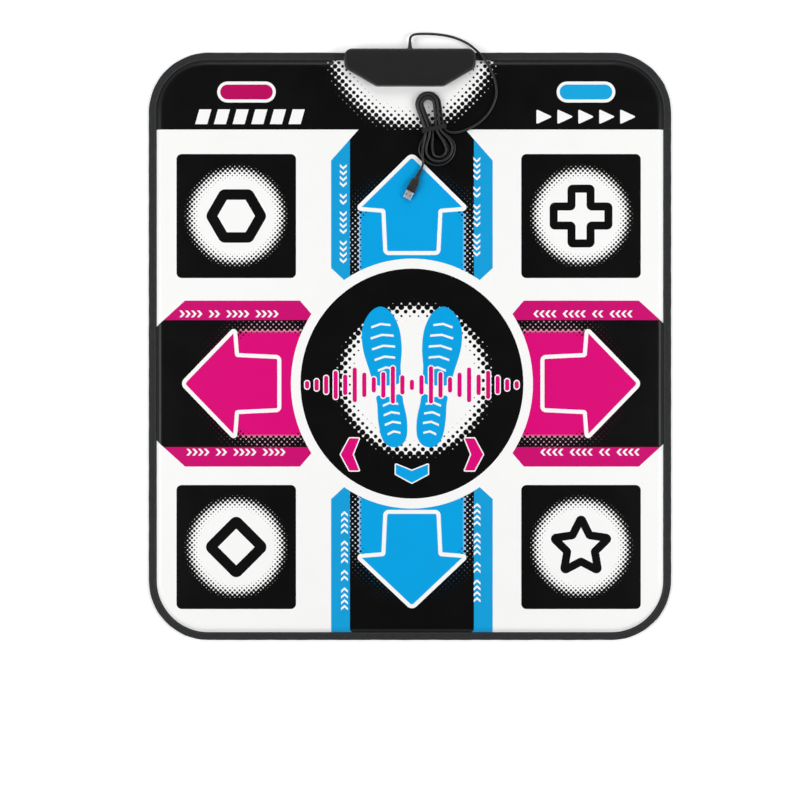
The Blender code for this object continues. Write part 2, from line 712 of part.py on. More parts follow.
# Bottom shell: a flange under the mat's edge, a wall inside its notch, posts and stands
shell_rings = [
    raised(box_outline(0.0), 0.0),
    raised(box_outline(0.0), FLANGE_THICK),
    raised(shell_outline(0.0), FLANGE_THICK),
    raised(shell_outline(0.0), SHELL_TOP),
    raised(shell_outline(SHELL_WALL), SHELL_TOP),
    raised(shell_outline(SHELL_WALL), SHELL_FLOOR),
]
shell_mesh = lofted("controller_bottom_shell", shell_rings)
bottom_shell = place("controller_bottom_shell", shell_mesh, BOX_PLASTIC)

tool_mesh = bmesh.new()
for spot in screw_spots:
    prism(tool_mesh, circle(POST_RADIUS, SCREW_SIDES, spot), SHELL_FLOOR / 2, SHELL_TOP)
for spot in clamp_spots:
    prism(tool_mesh, circle(CLAMP_BOSS_RADIUS, SCREW_SIDES, spot), SHELL_FLOOR / 2, STAND_TOP)
for side in (-1, 1):
    stand = circle(STAND_RADIUS, SCREW_SIDES, (side * STAND_X, STAND_Y))
    prism(tool_mesh, stand, SHELL_FLOOR / 2, STAND_TOP)
ledge_size = (TAIL_WIDTH, TAIL_LENGTH - SHELL_WALL - FIT, LEDGE_TOP - SHELL_FLOOR / 2)
ledge_y = SHELL_FRONT_Y + SHELL_WALL + FIT + ledge_size[1] / 2
block(tool_mesh, ledge_size, (0.0, ledge_y), SHELL_FLOOR / 2)
shell_posts = hidden_tool("shell_posts", tool_mesh)
combine(bottom_shell, shell_posts, 'UNION')

tool_mesh = bmesh.new()
for spot in screw_spots:
    head = circle(SCREW_HEAD_RADIUS + SCREW_CLEARANCE, SCREW_SIDES, spot)
    shank = circle(SCREW_RADIUS + SCREW_CLEARANCE, SCREW_SIDES, spot)
    loft(tool_mesh, [
        raised(head, -BEYOND), raised(head, HEAD_SEAT),
        raised(shank, HEAD_SEAT), raised(shank, SHELL_TOP + BEYOND),
    ])
CLAMP_SCREW_END = SHELL_FLOOR / 2
for spot in clamp_spots:
    hole = circle(CLAMP_SCREW_RADIUS + SCREW_CLEARANCE, SCREW_SIDES, spot)
    prism(tool_mesh, hole, CLAMP_SCREW_END, SHELL_TOP + BEYOND)
slot_size = (TAIL_WIDTH + 2 * TAIL_SLOT_SIDE, 2 * SHELL_WALL, BEYOND)
block(tool_mesh, slot_size, (0.0, SHELL_FRONT_Y), LEDGE_TOP)
shell_holes = hidden_tool("shell_holes", tool_mesh)
combine(bottom_shell, shell_holes, 'DIFFERENCE')

# The round hole in the rear wall, half in each shell, that the grommet's neck fills
tool_mesh = bmesh.new()
neck_hole = circle(GROMMET_NECK + FIT, GROMMET_SIDES)
loft(tool_mesh, [
    [Vector((p.x, y, GROMMET_Z + p.y)) for p in neck_hole]
    for y in (BOX_REAR_Y - 2 * SHELL_WALL, BOX_REAR_Y + BEYOND)
])
grommet_hole = hidden_tool("grommet_hole", tool_mesh)
combine(bottom_shell, grommet_hole, 'DIFFERENCE')

# Lid: a cap with a rounded top edge, whose rim lies on the mat and on the bottom shell
lid_profile = [(BOX_WALL + BOX_ROUND * 0.5, BOSS_TOP), (BOX_WALL, BOSS_TOP - BOX_ROUND * 0.5)]
lid_profile += [(BOX_WALL, LID_RIM), (0.0, LID_RIM)]
for step in range(4):
    angle = math.pi / 2 * step / 3
    lid_profile.append((
        BOX_ROUND * (1 - math.cos(angle)),
        BOX_HEIGHT - BOX_ROUND * (1 - math.sin(angle)),
    ))
lid_rings = [raised(box_outline(inset), z) for inset, z in lid_profile]
lid = place("controller_top_shell", lofted("controller_top_shell", lid_rings), BOX_PLASTIC)

tool_mesh = bmesh.new()
for spot in screw_spots:
    prism(tool_mesh, circle(POST_RADIUS, SCREW_SIDES, spot), LID_RIM, BOX_HEIGHT - BOX_WALL / 2)
lid_bosses = hidden_tool("lid_bosses", tool_mesh)
combine(lid, lid_bosses, 'UNION')

tool_mesh = bmesh.new()
SCREW_TOP = HEAD_SEAT - FIT + SCREW_LENGTH
for spot in screw_spots:
    hole = circle(SCREW_RADIUS + SCREW_CLEARANCE, SCREW_SIDES, spot)
    prism(tool_mesh, hole, LID_RIM - BEYOND, SCREW_TOP + FIT)
lid_holes = hidden_tool("lid_holes", tool_mesh)
combine(lid, lid_holes, 'DIFFERENCE')
combine(lid, grommet_hole, 'DIFFERENCE')


def screw(name, spot, tip, seat, head_end, radius, head_radius):
    """A screw along Z from its tip past the seat of its head to the head's outer face."""
    shank = circle(radius, SCREW_SIDES, spot)
    head = circle(head_radius, SCREW_SIDES, spot)
    narrow = circle(radius * 0.6, SCREW_SIDES, spot)
    worn = circle(head_radius * 0.85, SCREW_SIDES, spot)
    point = tip + (seat - tip) * 0.1
    edge = seat + (head_end - seat) * 0.6
    mesh = lofted(name, [
        raised(narrow, tip), raised(shank, point), raised(shank, seat),
        raised(head, seat), raised(head, edge), raised(worn, head_end),
    ])
    place(name, mesh, STEEL)


for index, spot in enumerate(screw_spots, 1):
    seat = HEAD_SEAT - FIT
    head_face = seat - SCREW_HEAD_HEIGHT
    screw(
        f"controller_screw_{index}", spot, SCREW_TOP, seat, head_face,
        SCREW_RADIUS, SCREW_HEAD_RADIUS,
    )
for index, spot in enumerate(clamp_spots, 1):
    seat = CLAMP_Z + CLAMP_THICK + FIT
    screw(
        f"clamp_screw_{index}", spot, CLAMP_SCREW_END + FIT, seat, seat + CLAMP_HEAD_HEIGHT,
        CLAMP_SCREW_RADIUS, CLAMP_HEAD_RADIUS,
    )

# Circuit board on its stands, between the two film tails, with the clamp bar on top
clamp_holes = [
    circle(CLAMP_SCREW_RADIUS + SCREW_CLEARANCE, SCREW_SIDES, spot) for spot in clamp_spots
]
board_outline = rectangle(
    BOARD_WIDTH, BOARD_DEPTH, BOARD_CORNER, 2, (0.0, BOARD_FRONT_Y + BOARD_DEPTH / 2)
)
board_mesh = plate("circuit_board", board_outline, clamp_holes, BOARD_Z, BOARD_THICK)
place("circuit_board", board_mesh, BOARD_GREEN)
bar_outline = rectangle(CLAMP_WIDTH, CLAMP_DEPTH, CLAMP_CORNER, 3, (0.0, CLAMP_Y))
bar_mesh = plate("membrane_clamp", bar_outline, clamp_holes, CLAMP_Z, CLAMP_THICK)
place("membrane_clamp", bar_mesh, WHITE_PLASTIC)

PARTS_Z = BOARD_TOP + FIT
PARTS_Y = CLAMP_Y + CLAMP_DEPTH / 2 + CHIP_SIZE[1] / 2 + 5 * FIT
SOCKET_Y = BOARD_FRONT_Y + BOARD_DEPTH - SOCKET_SIZE[1] / 2 - FIT
for name, size, x, y, material in (
    ("controller_chip", CHIP_SIZE, CHIP_X, PARTS_Y, CHIP_BLACK),
    ("crystal", CRYSTAL_SIZE, CRYSTAL_X, PARTS_Y, STEEL),
    ("lead_socket", SOCKET_SIZE, 0.0, SOCKET_Y, WHITE_PLASTIC),
):
    component = bmesh.new()
    block(component, size, (x, y), PARTS_Z)
    place(name, mesh_of(name, component), material)

can = [(1.0, 0.0), (1.0, 0.86), (0.93, 0.90), (1.0, 0.94), (0.94, 1.0)]
can_rings = [
    raised(circle(CAPACITOR_RADIUS * r, SCREW_SIDES, (CAPACITOR_X, PARTS_Y)),
           PARTS_Z + CAPACITOR_HEIGHT * h)
    for r, h in can
]
place("capacitor", lofted("capacitor", can_rings), CHIP_BLACK)

# Grommet: held by its neck in the rear wall, with a short tapered sleeve outside
INSIDE_Y = BOX_REAR_Y - SHELL_STEP - max(SHELL_WALL, BOX_WALL) - 2 * FIT
grommet_profile = (
    (GROMMET_FLANGE, INSIDE_Y - GROMMET_FLANGE_THICK), (GROMMET_FLANGE, INSIDE_Y),
    (GROMMET_NECK, INSIDE_Y), (GROMMET_NECK, BOX_REAR_Y + FIT),
    (GROMMET_FLANGE, BOX_REAR_Y + FIT),
    (GROMMET_FLANGE, BOX_REAR_Y + FIT + GROMMET_FLANGE_THICK),
    (CORD_RADIUS + SLEEVE_START_WALL, BOX_REAR_Y + FIT + GROMMET_FLANGE_THICK * 1.3),
    (CORD_RADIUS + SLEEVE_END_WALL, BOX_REAR_Y + FIT + GROMMET_FLANGE_THICK + GROMMET_TAPER),
)
grommet_rings = [
    [Vector((p.x, y, GROMMET_Z + p.y)) for p in circle(radius, GROMMET_SIDES)]
    for radius, y in grommet_profile
]
place("cord_grommet", lofted("cord_grommet", grommet_rings), CORD_BLACK)
CORD_EXIT = Vector((0.0, grommet_profile[-1][1] + FIT, GROMMET_Z))


def smooth_route(points, spacing):
    """Evenly spaced points along a smooth curve through a route's own points."""
    through = [Vector(p) for p in points]
    through = [2 * through[0] - through[1]] + through + [2 * through[-1] - through[-2]]
    fine = []
    for i in range(1, len(through) - 2):
        before, start, end, after = through[i - 1:i + 3]
        for k in range(12):
            t = k / 12
            bend = (
                2 * start + (end - before) * t
                + (2 * before - 5 * start + 4 * end - after) * t * t
                + (3 * start - before - 3 * end + after) * t * t * t
            )
            fine.append(bend / 2)
    fine.append(through[-2])
    travelled = [0.0]
    for a, b in zip(fine, fine[1:]):
        travelled.append(travelled[-1] + (b - a).length)
    count = max(2, round(travelled[-1] / spacing))
    spaced = []
    index = 0
    for k in range(count + 1):
        want = travelled[-1] * k / count
        while index < len(fine) - 2 and travelled[index + 1] < want:
            index += 1
        span = travelled[index + 1] - travelled[index]
        spaced.append(fine[index].lerp(fine[index + 1], (want - travelled[index]) / span))
    return spaced


def free_run(start, ahead, route, end, into, spacing):
    """A stretch of cord that leaves and arrives straight for one diameter."""
    straight = 2 * CORD_RADIUS
    through = [start + ahead * straight] + list(route) + [end - into * straight]
    return [start] + smooth_route(through, spacing) + [end]


def length_of(points):
    """The length along points."""
    return sum((b - a).length for a, b in zip(points, points[1:]))


def tube(name, points, radius, resolution, material):
    """A round cord along points, with flat ends."""
    curve = bpy.data.curves.new(name, 'CURVE')
    curve.dimensions = '3D'
    curve.bevel_depth = radius
    curve.bevel_resolution = resolution
    curve.use_fill_caps = True
    spline = curve.splines.new('POLY')
    spline.points.add(len(points) - 1)
    for target, point in zip(spline.points, points):
        target.co = (*point, 1.0)
    curve.materials.append(material)
    piece = bpy.data.objects.new(name, curve)
    bpy.context.scene.collection.objects.link(piece)


def hank_spot(share, wound):
    """A point of a loop of the hank: (across, along) from its middle, some turns further in."""
    waist = HANK_WAIST_HALF - HANK_WAIST_PITCH * wound
    rear = HANK_REAR_FOLD - HANK_REAR_PITCH * wound
    front = HANK_FRONT_FOLD - HANK_FRONT_PITCH * wound
    front_run = HANK_FRONT_RUN + HANK_FRONT_SHIFT * wound
    reached = share % 1.0 * LOOP_POINTS
    part = 0
    while part < 5 and reached > LOOP_STEPS[part]:
        reached -= LOOP_STEPS[part]
        part += 1
    t = reached / LOOP_STEPS[part]
    turn = math.pi * t
    if part == 1:
        return Vector((rear * math.cos(turn), HANK_REAR_RUN + rear * math.sin(turn)))
    if part == 4:
        return Vector((-front * math.cos(turn), -front_run - front * math.sin(turn)))
    side = 1 if part in (0, 5) else -1
    from_waist = t if part in (0, 3) else 1 - t
    fold, along = (rear, HANK_REAR_RUN) if part in (0, 2) else (front, -front_run)
    opened = (1 - math.cos(math.pi * from_waist)) / 2
    return Vector((side * (waist + (fold - waist) * opened), along * from_waist))


def hank_point(turns):
    """A point of the wound lead after a number of turns: inwards below, outwards above."""
    wound = HANK_TURNS_BELOW - abs(turns - HANK_TURNS_BELOW)
    flat = hank_spot(HANK_START + turns, wound)
    climb = min(1.0, max(0.0, (turns - HANK_TURNS_BELOW) * 2 + 0.5))
    layer = (1 - math.cos(math.pi * climb)) / 2
    lift = WAIST_LIFT * math.exp(-(flat.y / WAIST_LIFT_REACH) ** 2)
    turned = Matrix.Rotation(HANK_LEAN, 2) @ flat
    height = CORD_ON_MAT_Z + lift + LAYER_RISE * layer
    return Vector((HANK_X + turned.x, HANK_Y + turned.y, height))


def least_gap(points, radius, apart):
    """The least free gap between stretches of a tube, measured on its centre line."""
    fine = []
    for a, b in zip(points, points[1:]):
        fine += [a.lerp(b, k / 4) for k in range(4)]
    reached = [0.0]
    for a, b in zip(fine, fine[1:]):
        reached.append(reached[-1] + (b - a).length)
    gap = min(
        (fine[i] - fine[j]).length
        for i in range(len(fine)) for j in range(i + 1, len(fine))
        if reached[j] - reached[i] > apart
    )
    return gap - 2 * radius


def straight_ends(points, length):
    """The same points with a straight stretch added at both ends."""
    first = points[0] + (points[0] - points[1]).normalized() * length
    last = points[-1] + (points[-1] - points[-2]).normalized() * length
    return [first] + points + [last]


# The wound part of the lead, one unbroken tube
loop_count = round(HANK_TURNS * LOOP_POINTS)
hank_points = [hank_point(HANK_TURNS * k / loop_count) for k in range(loop_count + 1)]
hank_points = straight_ends(hank_points, 2 * CORD_RADIUS)
tube("cord_hank", hank_points, CORD_RADIUS, 1, CORD_BLACK)
print(f"least gap in the hank: {1000 * least_gap(hank_points, CORD_RADIUS, 0.012):.2f} mm")

# The free lead from the grommet to the hank
into_hank = (hank_points[1] - hank_points[0]).normalized()
lead_end = hank_points[0] - into_hank * FIT
rearwards = Vector((0.0, 1.0, 0.0))
lead_points = free_run(CORD_EXIT, rearwards, LEAD_ROUTE, lead_end, into_hank, CORD_SPACING)
tube("cord_lead", lead_points, CORD_RADIUS, 2, CORD_BLACK)

# The tail from the hank to the plug
plug_ahead = Vector((-math.sin(PLUG_HEADING), -math.cos(PLUG_HEADING), 0.0))
plug_right = Vector((-plug_ahead.y, plug_ahead.x, 0.0))
plug_start = Vector((PLUG_X, PLUG_Y, PLUG_Z))
out_of_hank = (hank_points[-1] - hank_points[-2]).normalized()
tail_start = hank_points[-1] + out_of_hank * FIT
tail_end = plug_start - plug_ahead * FIT
tail_points = free_run(
    tail_start, out_of_hank, TAIL_ROUTE, tail_end, plug_ahead, TAIL_SPACING
)
tube("cord_tail", tail_points, CORD_RADIUS, 2, CORD_BLACK)

# The end of the lead inside the box
inner_start_y = INSIDE_Y - GROMMET_FLANGE_THICK - FIT
inner_end_y = SOCKET_Y + SOCKET_SIZE[1] / 2 + FIT
inner_lead_points = [
    Vector((0.0, inner_start_y + (inner_end_y - inner_start_y) * k / 3, GROMMET_Z))
    for k in range(4)
]
tube("inner_lead", inner_lead_points, INNER_LEAD_RADIUS, 2, CORD_BLACK)

# The tie: a band round the waist
tie_along = Matrix.Rotation(HANK_LEAN, 2) @ Vector((0.0, 1.0))
tie_across = Vector((tie_along.y, -tie_along.x))
tie_middle = Vector((HANK_X, HANK_Y)) + tie_across * TIE_SIDEWAYS
TIE_BOTTOM = MAT_TOP + FIT
tie_top = CORD_ON_MAT_Z + WAIST_LIFT + LAYER_RISE + CORD_RADIUS + TIE_SLACK + TIE_THICK
tie_half = TIE_INNER_HALF + TIE_THICK
tie_height = tie_top - TIE_BOTTOM
tie_loops = []
for inset, along in (
    (0.0, -TIE_WIDTH / 2), (0.0, TIE_WIDTH / 2),
    (TIE_THICK, TIE_WIDTH / 2), (TIE_THICK, -TIE_WIDTH / 2),
):
    section = rectangle(
        2 * (tie_half - inset), tie_height - 2 * inset, TIE_CORNER - inset, 3,
        (0.0, TIE_BOTTOM + tie_height / 2),
    )
    ring = []
    for p in section:
        spot = tie_middle + tie_across * p.x + tie_along * along
        ring.append(Vector((spot.x, spot.y, p.y)))
    tie_loops.append(ring)
place("cord_tie", lofted("cord_tie", tie_loops, closed=True), CORD_BLACK)


def plug_ring(along, width, thick, corner, lift=0.0):
    """A rounded rectangle square to the plug's own line."""
    section = rectangle(width, thick, corner, 3, (0.0, lift))
    return [plug_start + plug_ahead * along + plug_right * p.x + Vector((0, 0, p.y)) for p in section]


# Plug body: a ribbed strain relief that opens into the grip
plug_rings = []
relief_step = PLUG_RELIEF / (2 * PLUG_RIBS)
for k in range(2 * PLUG_RIBS + 1):
    swell = PLUG_RELIEF_RADIUS * (1 + 0.35 * k / (2 * PLUG_RIBS))
    if k % 2:
        swell *= 0.86
    plug_rings.append(plug_ring(k * relief_step, 2 * swell, 2 * swell, swell * 0.98))
GRIP_START = PLUG_RELIEF + PLUG_NECK
for along, width, thick in (
    (GRIP_START, 0.72, 0.86), (GRIP_START + 0.006, 0.86, 0.97), (PLUG_LENGTH - 0.008, 1.0, 1.0),
    (PLUG_LENGTH - 0.0012, 1.0, 1.0), (PLUG_LENGTH, 0.93, 0.86),
):
    plug_rings.append(plug_ring(along, PLUG_WIDTH * width, PLUG_THICK * thick, PLUG_ROUND))
place("plug_body", lofted("plug_body", plug_rings), CORD_BLACK)

# Plug shell: a folded steel sleeve, open at its mouth
sleeve_start = PLUG_LENGTH + FIT
sleeve_end = sleeve_start + PLUG_SHELL_LENGTH
inner_width = PLUG_SHELL_WIDTH - 2 * PLUG_SHELL_WALL
inner_thick = PLUG_SHELL_THICK - 2 * PLUG_SHELL_WALL
sleeve = [
    plug_ring(sleeve_start, PLUG_SHELL_WIDTH, PLUG_SHELL_THICK, PLUG_SHELL_ROUND),
    plug_ring(sleeve_end, PLUG_SHELL_WIDTH, PLUG_SHELL_THICK, PLUG_SHELL_ROUND),
    plug_ring(sleeve_end, inner_width, inner_thick, PLUG_SHELL_INNER_ROUND),
    plug_ring(sleeve_start, inner_width, inner_thick, PLUG_SHELL_INNER_ROUND),
]
place("plug_shell", lofted("plug_shell", sleeve, closed=True), STEEL)

# Plug tongue: the plastic strip that carries the contacts
tongue_width = inner_width - 2 * FIT
tongue_lift = -(inner_thick / 2 - FIT - PLUG_TONGUE_THICK / 2)
tongue = [
    plug_ring(along, tongue_width, PLUG_TONGUE_THICK, PLUG_SHELL_INNER_ROUND, tongue_lift)
    for along in (sleeve_start, sleeve_end - 4 * FIT)
]
place("plug_tongue", lofted("plug_tongue", tongue), WHITE_PLASTIC)

for name, points in (("lead", lead_points), ("hank", hank_points), ("tail", tail_points)):
    print(f"{name}: {length_of(points):.3f} m of cord, {len(points)} points")
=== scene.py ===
"""Padded dance mat: printed vinyl cover, foam and film inside, controller box, hanked lead."""
import math

import bmesh
import bpy
from mathutils import Matrix, Vector
from mathutils.geometry import delaunay_2d_cdt


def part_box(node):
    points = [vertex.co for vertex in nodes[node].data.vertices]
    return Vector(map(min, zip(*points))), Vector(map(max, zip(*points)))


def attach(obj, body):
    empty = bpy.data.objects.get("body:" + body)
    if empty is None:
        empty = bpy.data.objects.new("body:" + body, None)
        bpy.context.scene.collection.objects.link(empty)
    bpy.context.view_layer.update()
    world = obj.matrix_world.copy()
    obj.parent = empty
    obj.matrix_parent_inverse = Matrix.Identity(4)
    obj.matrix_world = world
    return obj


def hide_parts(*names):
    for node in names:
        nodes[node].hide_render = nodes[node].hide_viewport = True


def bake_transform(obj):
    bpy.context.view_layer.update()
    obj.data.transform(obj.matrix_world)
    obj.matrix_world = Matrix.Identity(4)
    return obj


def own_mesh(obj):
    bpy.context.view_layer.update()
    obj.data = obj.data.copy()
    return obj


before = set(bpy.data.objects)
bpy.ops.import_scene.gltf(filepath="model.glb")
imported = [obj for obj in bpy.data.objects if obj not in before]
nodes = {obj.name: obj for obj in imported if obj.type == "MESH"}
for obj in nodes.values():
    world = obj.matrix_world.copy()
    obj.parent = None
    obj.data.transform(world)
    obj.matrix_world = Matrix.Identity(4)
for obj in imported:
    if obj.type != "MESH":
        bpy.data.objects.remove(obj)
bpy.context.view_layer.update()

# Studio. A pale floor, a large soft lamp on each side and one at the rear, and a camera
# straight above the mat, where the photographer stood. Nothing bright hangs overhead, so the
# glossy black print stays black.


def linear(code):
    """A colour written as sRGB hex, such as 1AA0E0, as linear values."""
    values = [int(code[i:i + 2], 16) / 255 for i in (0, 2, 4)]
    return [v / 12.92 if v <= 0.04045 else ((v + 0.055) / 1.055) ** 2.4 for v in values]


def set_inputs(tree, node, inputs):
    """Give a node's inputs their values: a number, a hex colour or another node's socket."""
    for key, value in inputs.items():
        socket = node.inputs[key]
        if isinstance(value, bpy.types.NodeSocket):
            tree.links.new(value, socket)
        elif socket.type == 'RGBA':
            socket.default_value = (*linear(value), 1.0)
        else:
            socket.default_value = value


def add_node(tree, kind, inputs=None, **settings):
    """One node with its settings and its inputs."""
    node = tree.nodes.new(kind)
    for name, value in settings.items():
        setattr(node, name, value)
    set_inputs(tree, node, inputs or {})
    return node


def new_finish(name):
    """A material with its nodes, its shader and the place on the piece that patterns read."""
    material = bpy.data.materials.new(name)
    material.use_nodes = True
    tree = material.node_tree
    where = add_node(tree, 'ShaderNodeTexCoord')
    return material, tree, tree.nodes["Principled BSDF"], where.outputs["Object"]


def make_piece(name, mesh, materials):
    """A mesh as one piece of the mat, with its finishes in order."""
    piece = bpy.data.objects.new(name, mesh)
    bpy.context.scene.collection.objects.link(piece)
    for material in materials:
        mesh.materials.append(material)
    return piece


def sees_room(tree):
    """1 for the rays that show the background: camera, glossy and transmission rays."""
    ray = add_node(tree, 'ShaderNodeLightPath')
    mirrored = add_node(tree, 'ShaderNodeMath', {
        0: ray.outputs["Is Glossy Ray"], 1: ray.outputs["Is Transmission Ray"],
    }, operation='ADD')
    either = add_node(tree, 'ShaderNodeMath', {
        0: ray.outputs["Is Camera Ray"], 1: mirrored.outputs[0],
    }, operation='ADD', use_clamp=True)
    return either.outputs[0]


def area_lamp(name, place, aim, size, power):
    """A square softbox that faces a point."""
    lamp = bpy.data.lights.new(name, 'AREA')
    lamp.size = size
    lamp.energy = power
    stand = bpy.data.objects.new(name, lamp)
    stand.location = place
    stand.rotation_euler = (Vector(aim) - Vector(place)).to_track_quat('-Z', 'Y').to_euler()
    bpy.context.scene.collection.objects.link(stand)


# The camera's middle on the mat's top, and the width that its square picture takes in there
VIEW_CENTRE = Vector((-0.0155, -0.0835, 0.0077))
VIEW_WIDTH = 1.2424
LENS = 100.0
SENSOR = 36.0
camera_data = bpy.data.cameras.new("camera")
camera_data.lens = LENS
camera_data.sensor_width = SENSOR
camera_data.clip_end = 50.0
camera = bpy.data.objects.new("camera", camera_data)
camera.location = VIEW_CENTRE + Vector((0.0, 0.0, VIEW_WIDTH * LENS / SENSOR))
bpy.context.scene.collection.objects.link(camera)
bpy.context.scene.camera = camera

area_lamp("lamp_left", (-2.3, -0.30, 1.9), (0.0, -0.10, 0.0), 1.6, 52.0)
area_lamp("lamp_right", (2.3, -0.30, 1.9), (0.0, -0.10, 0.0), 1.6, 52.0)
area_lamp("lamp_rear", (0.0, 2.7, 1.9), (0.0, 0.0, 0.0), 1.4, 27.0)

world = bpy.data.worlds.new("studio")
bpy.context.scene.world = world
world.use_nodes = True
room = world.node_tree
room.nodes.clear()
# The room is white round the horizon and dim overhead, where the camera hangs. The first sky
# lights the mat, and the second is what the camera and the glossy pieces see.
heading = add_node(room, 'ShaderNodeTexCoord')
rise = add_node(room, 'ShaderNodeSeparateXYZ', {0: heading.outputs["Generated"]})
skies = []
for top, level, overhead in ((0.85, 0.50, 0.05), (0.70, 1.0, 0.03)):
    fade = add_node(room, 'ShaderNodeMapRange', {
        "Value": rise.outputs["Z"], "From Min": 0.20, "From Max": top, "To Min": level, "To Max": overhead,
    })
    sky = add_node(room, 'ShaderNodeBackground', {"Color": "FFFFFF", "Strength": fade.outputs[0]})
    skies.append(sky.outputs[0])
seen = add_node(room, 'ShaderNodeMixShader', {0: sees_room(room), 1: skies[0], 2: skies[1]})
add_node(room, 'ShaderNodeOutputWorld', {"Surface": seen.outputs[0]})
bpy.context.scene.view_settings.view_transform = 'Standard'

floor_finish, tree, shader, place = new_finish("white_studio_paper")
set_inputs(tree, shader, {"Base Color": "F2F2F2", "Roughness": 0.9, "Specular IOR Level": 0.1})
# The paper is lifted to white beyond the lamps' reach, and near the mat it keeps the shadow
away = add_node(tree, 'ShaderNodeVectorMath', {0: place}, operation='LENGTH')
whiter = add_node(tree, 'ShaderNodeMapRange', {
    "Value": away.outputs["Value"], "From Min": 0.9, "From Max": 2.6, "To Min": 0.24, "To Max": 1.0,
})
lift = add_node(tree, 'ShaderNodeEmission', {"Color": "FFFFFF", "Strength": whiter.outputs[0]})
lit = add_node(tree, 'ShaderNodeAddShader', {0: shader.outputs[0], 1: lift.outputs[0]})
shown = add_node(tree, 'ShaderNodeMixShader', {
    0: sees_room(tree), 1: shader.outputs[0], 2: lit.outputs[0],
})
set_inputs(tree, tree.nodes["Material Output"], {"Surface": shown.outputs[0]})
FLOOR_REACH = 6.0
FLOOR_Z = -0.0003
square_corners = ((-1, -1), (1, -1), (1, 1), (-1, 1))
floor_mesh = bpy.data.meshes.new("studio_floor")
floor_mesh.from_pydata(
    [(x * FLOOR_REACH, y * FLOOR_REACH, FLOOR_Z) for x, y in square_corners], [], [(0, 1, 2, 3)],
)
make_piece("studio_floor", floor_mesh, [floor_finish])

# Lead. Four-core data cable with a soft black vinyl sheath, 4 mm thick. It leaves the box at the
# rear, runs round the box's right end on to the mat, is wound into a flat hank of two layers
# and comes out at the hank's waist towards the plug. Its whole length shows.
MAT_TOP = 0.0077
CORD_RADIUS = 0.0020
CORD_GAP = 0.0003
CORD_SPACING = 0.0025
CORD_EXIT = Vector((0.0, 0.4722, 0.00785))
LEAD_ROUTE = (
    (0.0012, 0.4801, 0.0073), (0.0044, 0.4833, 0.0066), (0.0090, 0.4848, 0.0057),
    (0.0155, 0.4855, 0.0045), (0.0255, 0.4858, 0.0031), (0.0389, 0.4854, 0.0023),
    (0.0529, 0.4838, 0.0023), (0.0672, 0.4806, 0.0023), (0.0805, 0.4755, 0.0030),
    (0.0930, 0.4683, 0.0048), (0.1037, 0.4590, 0.0070), (0.1128, 0.4487, 0.0088),
    (0.1205, 0.4378, 0.0102), (0.1268, 0.4262, 0.0104), (0.1312, 0.4145, 0.0101),
    (0.1337, 0.4030, 0.0100), (0.1340, 0.3920, 0.0100), (0.1315, 0.3805, 0.0100),
    (0.1262, 0.3685, 0.0100), (0.1185, 0.3575, 0.0100), (0.1080, 0.3475, 0.0100),
    (0.0950, 0.3393, 0.0100), (0.0840, 0.3345, 0.0100), (0.0755, 0.3321, 0.0100),
    (0.0679, 0.3313, 0.0100), (0.0631, 0.3315, 0.0101), (0.0588, 0.3327, 0.0104),
    (0.0554, 0.3350, 0.0110), (0.0530, 0.3381, 0.0115), (0.0511, 0.3434, 0.0117),
)
TAIL_ROUTE = (
    (0.0234, 0.3392, 0.0161), (0.0242, 0.3338, 0.0163), (0.0241, 0.3275, 0.0159),
    (0.0229, 0.3208, 0.0154), (0.0209, 0.3134, 0.0149), (0.0196, 0.3058, 0.0147),
    (0.0194, 0.2984, 0.0147), (0.0199, 0.2903, 0.0144), (0.0201, 0.2830, 0.0134),
)
HANK_X = 0.0366
HANK_Y = 0.3371
HANK_LEAN = math.radians(13.0)
HANK_WAIST_HALF = 0.0152
HANK_REAR_RUN = 0.0392
HANK_REAR_FOLD = 0.0189
HANK_FRONT_RUN = 0.0269
HANK_FRONT_FOLD = 0.0340
HANK_WAIST_PITCH = 0.0053
HANK_REAR_PITCH = 0.0046
HANK_FRONT_PITCH = 0.0100
HANK_FRONT_SHIFT = 0.0032
HANK_START = 1 / 24
HANK_TURNS = 4 + 8 / 24
HANK_TURNS_BELOW = 2.50
LOOP_STEPS = (2, 6, 2, 3, 8, 3)
LOOP_POINTS = sum(LOOP_STEPS)
LAYER_RISE = 0.0045
WAIST_LIFT = 0.0017
WAIST_LIFT_REACH = 0.018
PLUG_START = Vector((0.0165, 0.2725, 0.0120))
PLUG_HEADING = math.radians(26.6)
PLUG_AHEAD = Vector((-math.sin(PLUG_HEADING), -math.cos(PLUG_HEADING), 0.0))
PLUG_RIGHT = Vector((-PLUG_AHEAD.y, PLUG_AHEAD.x, 0.0))


def hank_spot(share, wound):
    """A point of a loop of the hank: (across, along) from its middle, some turns further in."""
    waist = HANK_WAIST_HALF - HANK_WAIST_PITCH * wound
    rear = HANK_REAR_FOLD - HANK_REAR_PITCH * wound
    front = HANK_FRONT_FOLD - HANK_FRONT_PITCH * wound
    front_run = HANK_FRONT_RUN + HANK_FRONT_SHIFT * wound
    reached = share % 1.0 * LOOP_POINTS
    part = 0
    while part < 5 and reached > LOOP_STEPS[part]:
        reached -= LOOP_STEPS[part]
        part += 1
    t = reached / LOOP_STEPS[part]
    turn = math.pi * t
    if part == 1:
        return Vector((rear * math.cos(turn), HANK_REAR_RUN + rear * math.sin(turn)))
    if part == 4:
        return Vector((-front * math.cos(turn), -front_run - front * math.sin(turn)))
    side = 1 if part in (0, 5) else -1
    from_waist = t if part in (0, 3) else 1 - t
    fold, along = (rear, HANK_REAR_RUN) if part in (0, 2) else (front, -front_run)
    opened = (1 - math.cos(math.pi * from_waist)) / 2
    return Vector((side * (waist + (fold - waist) * opened), along * from_waist))


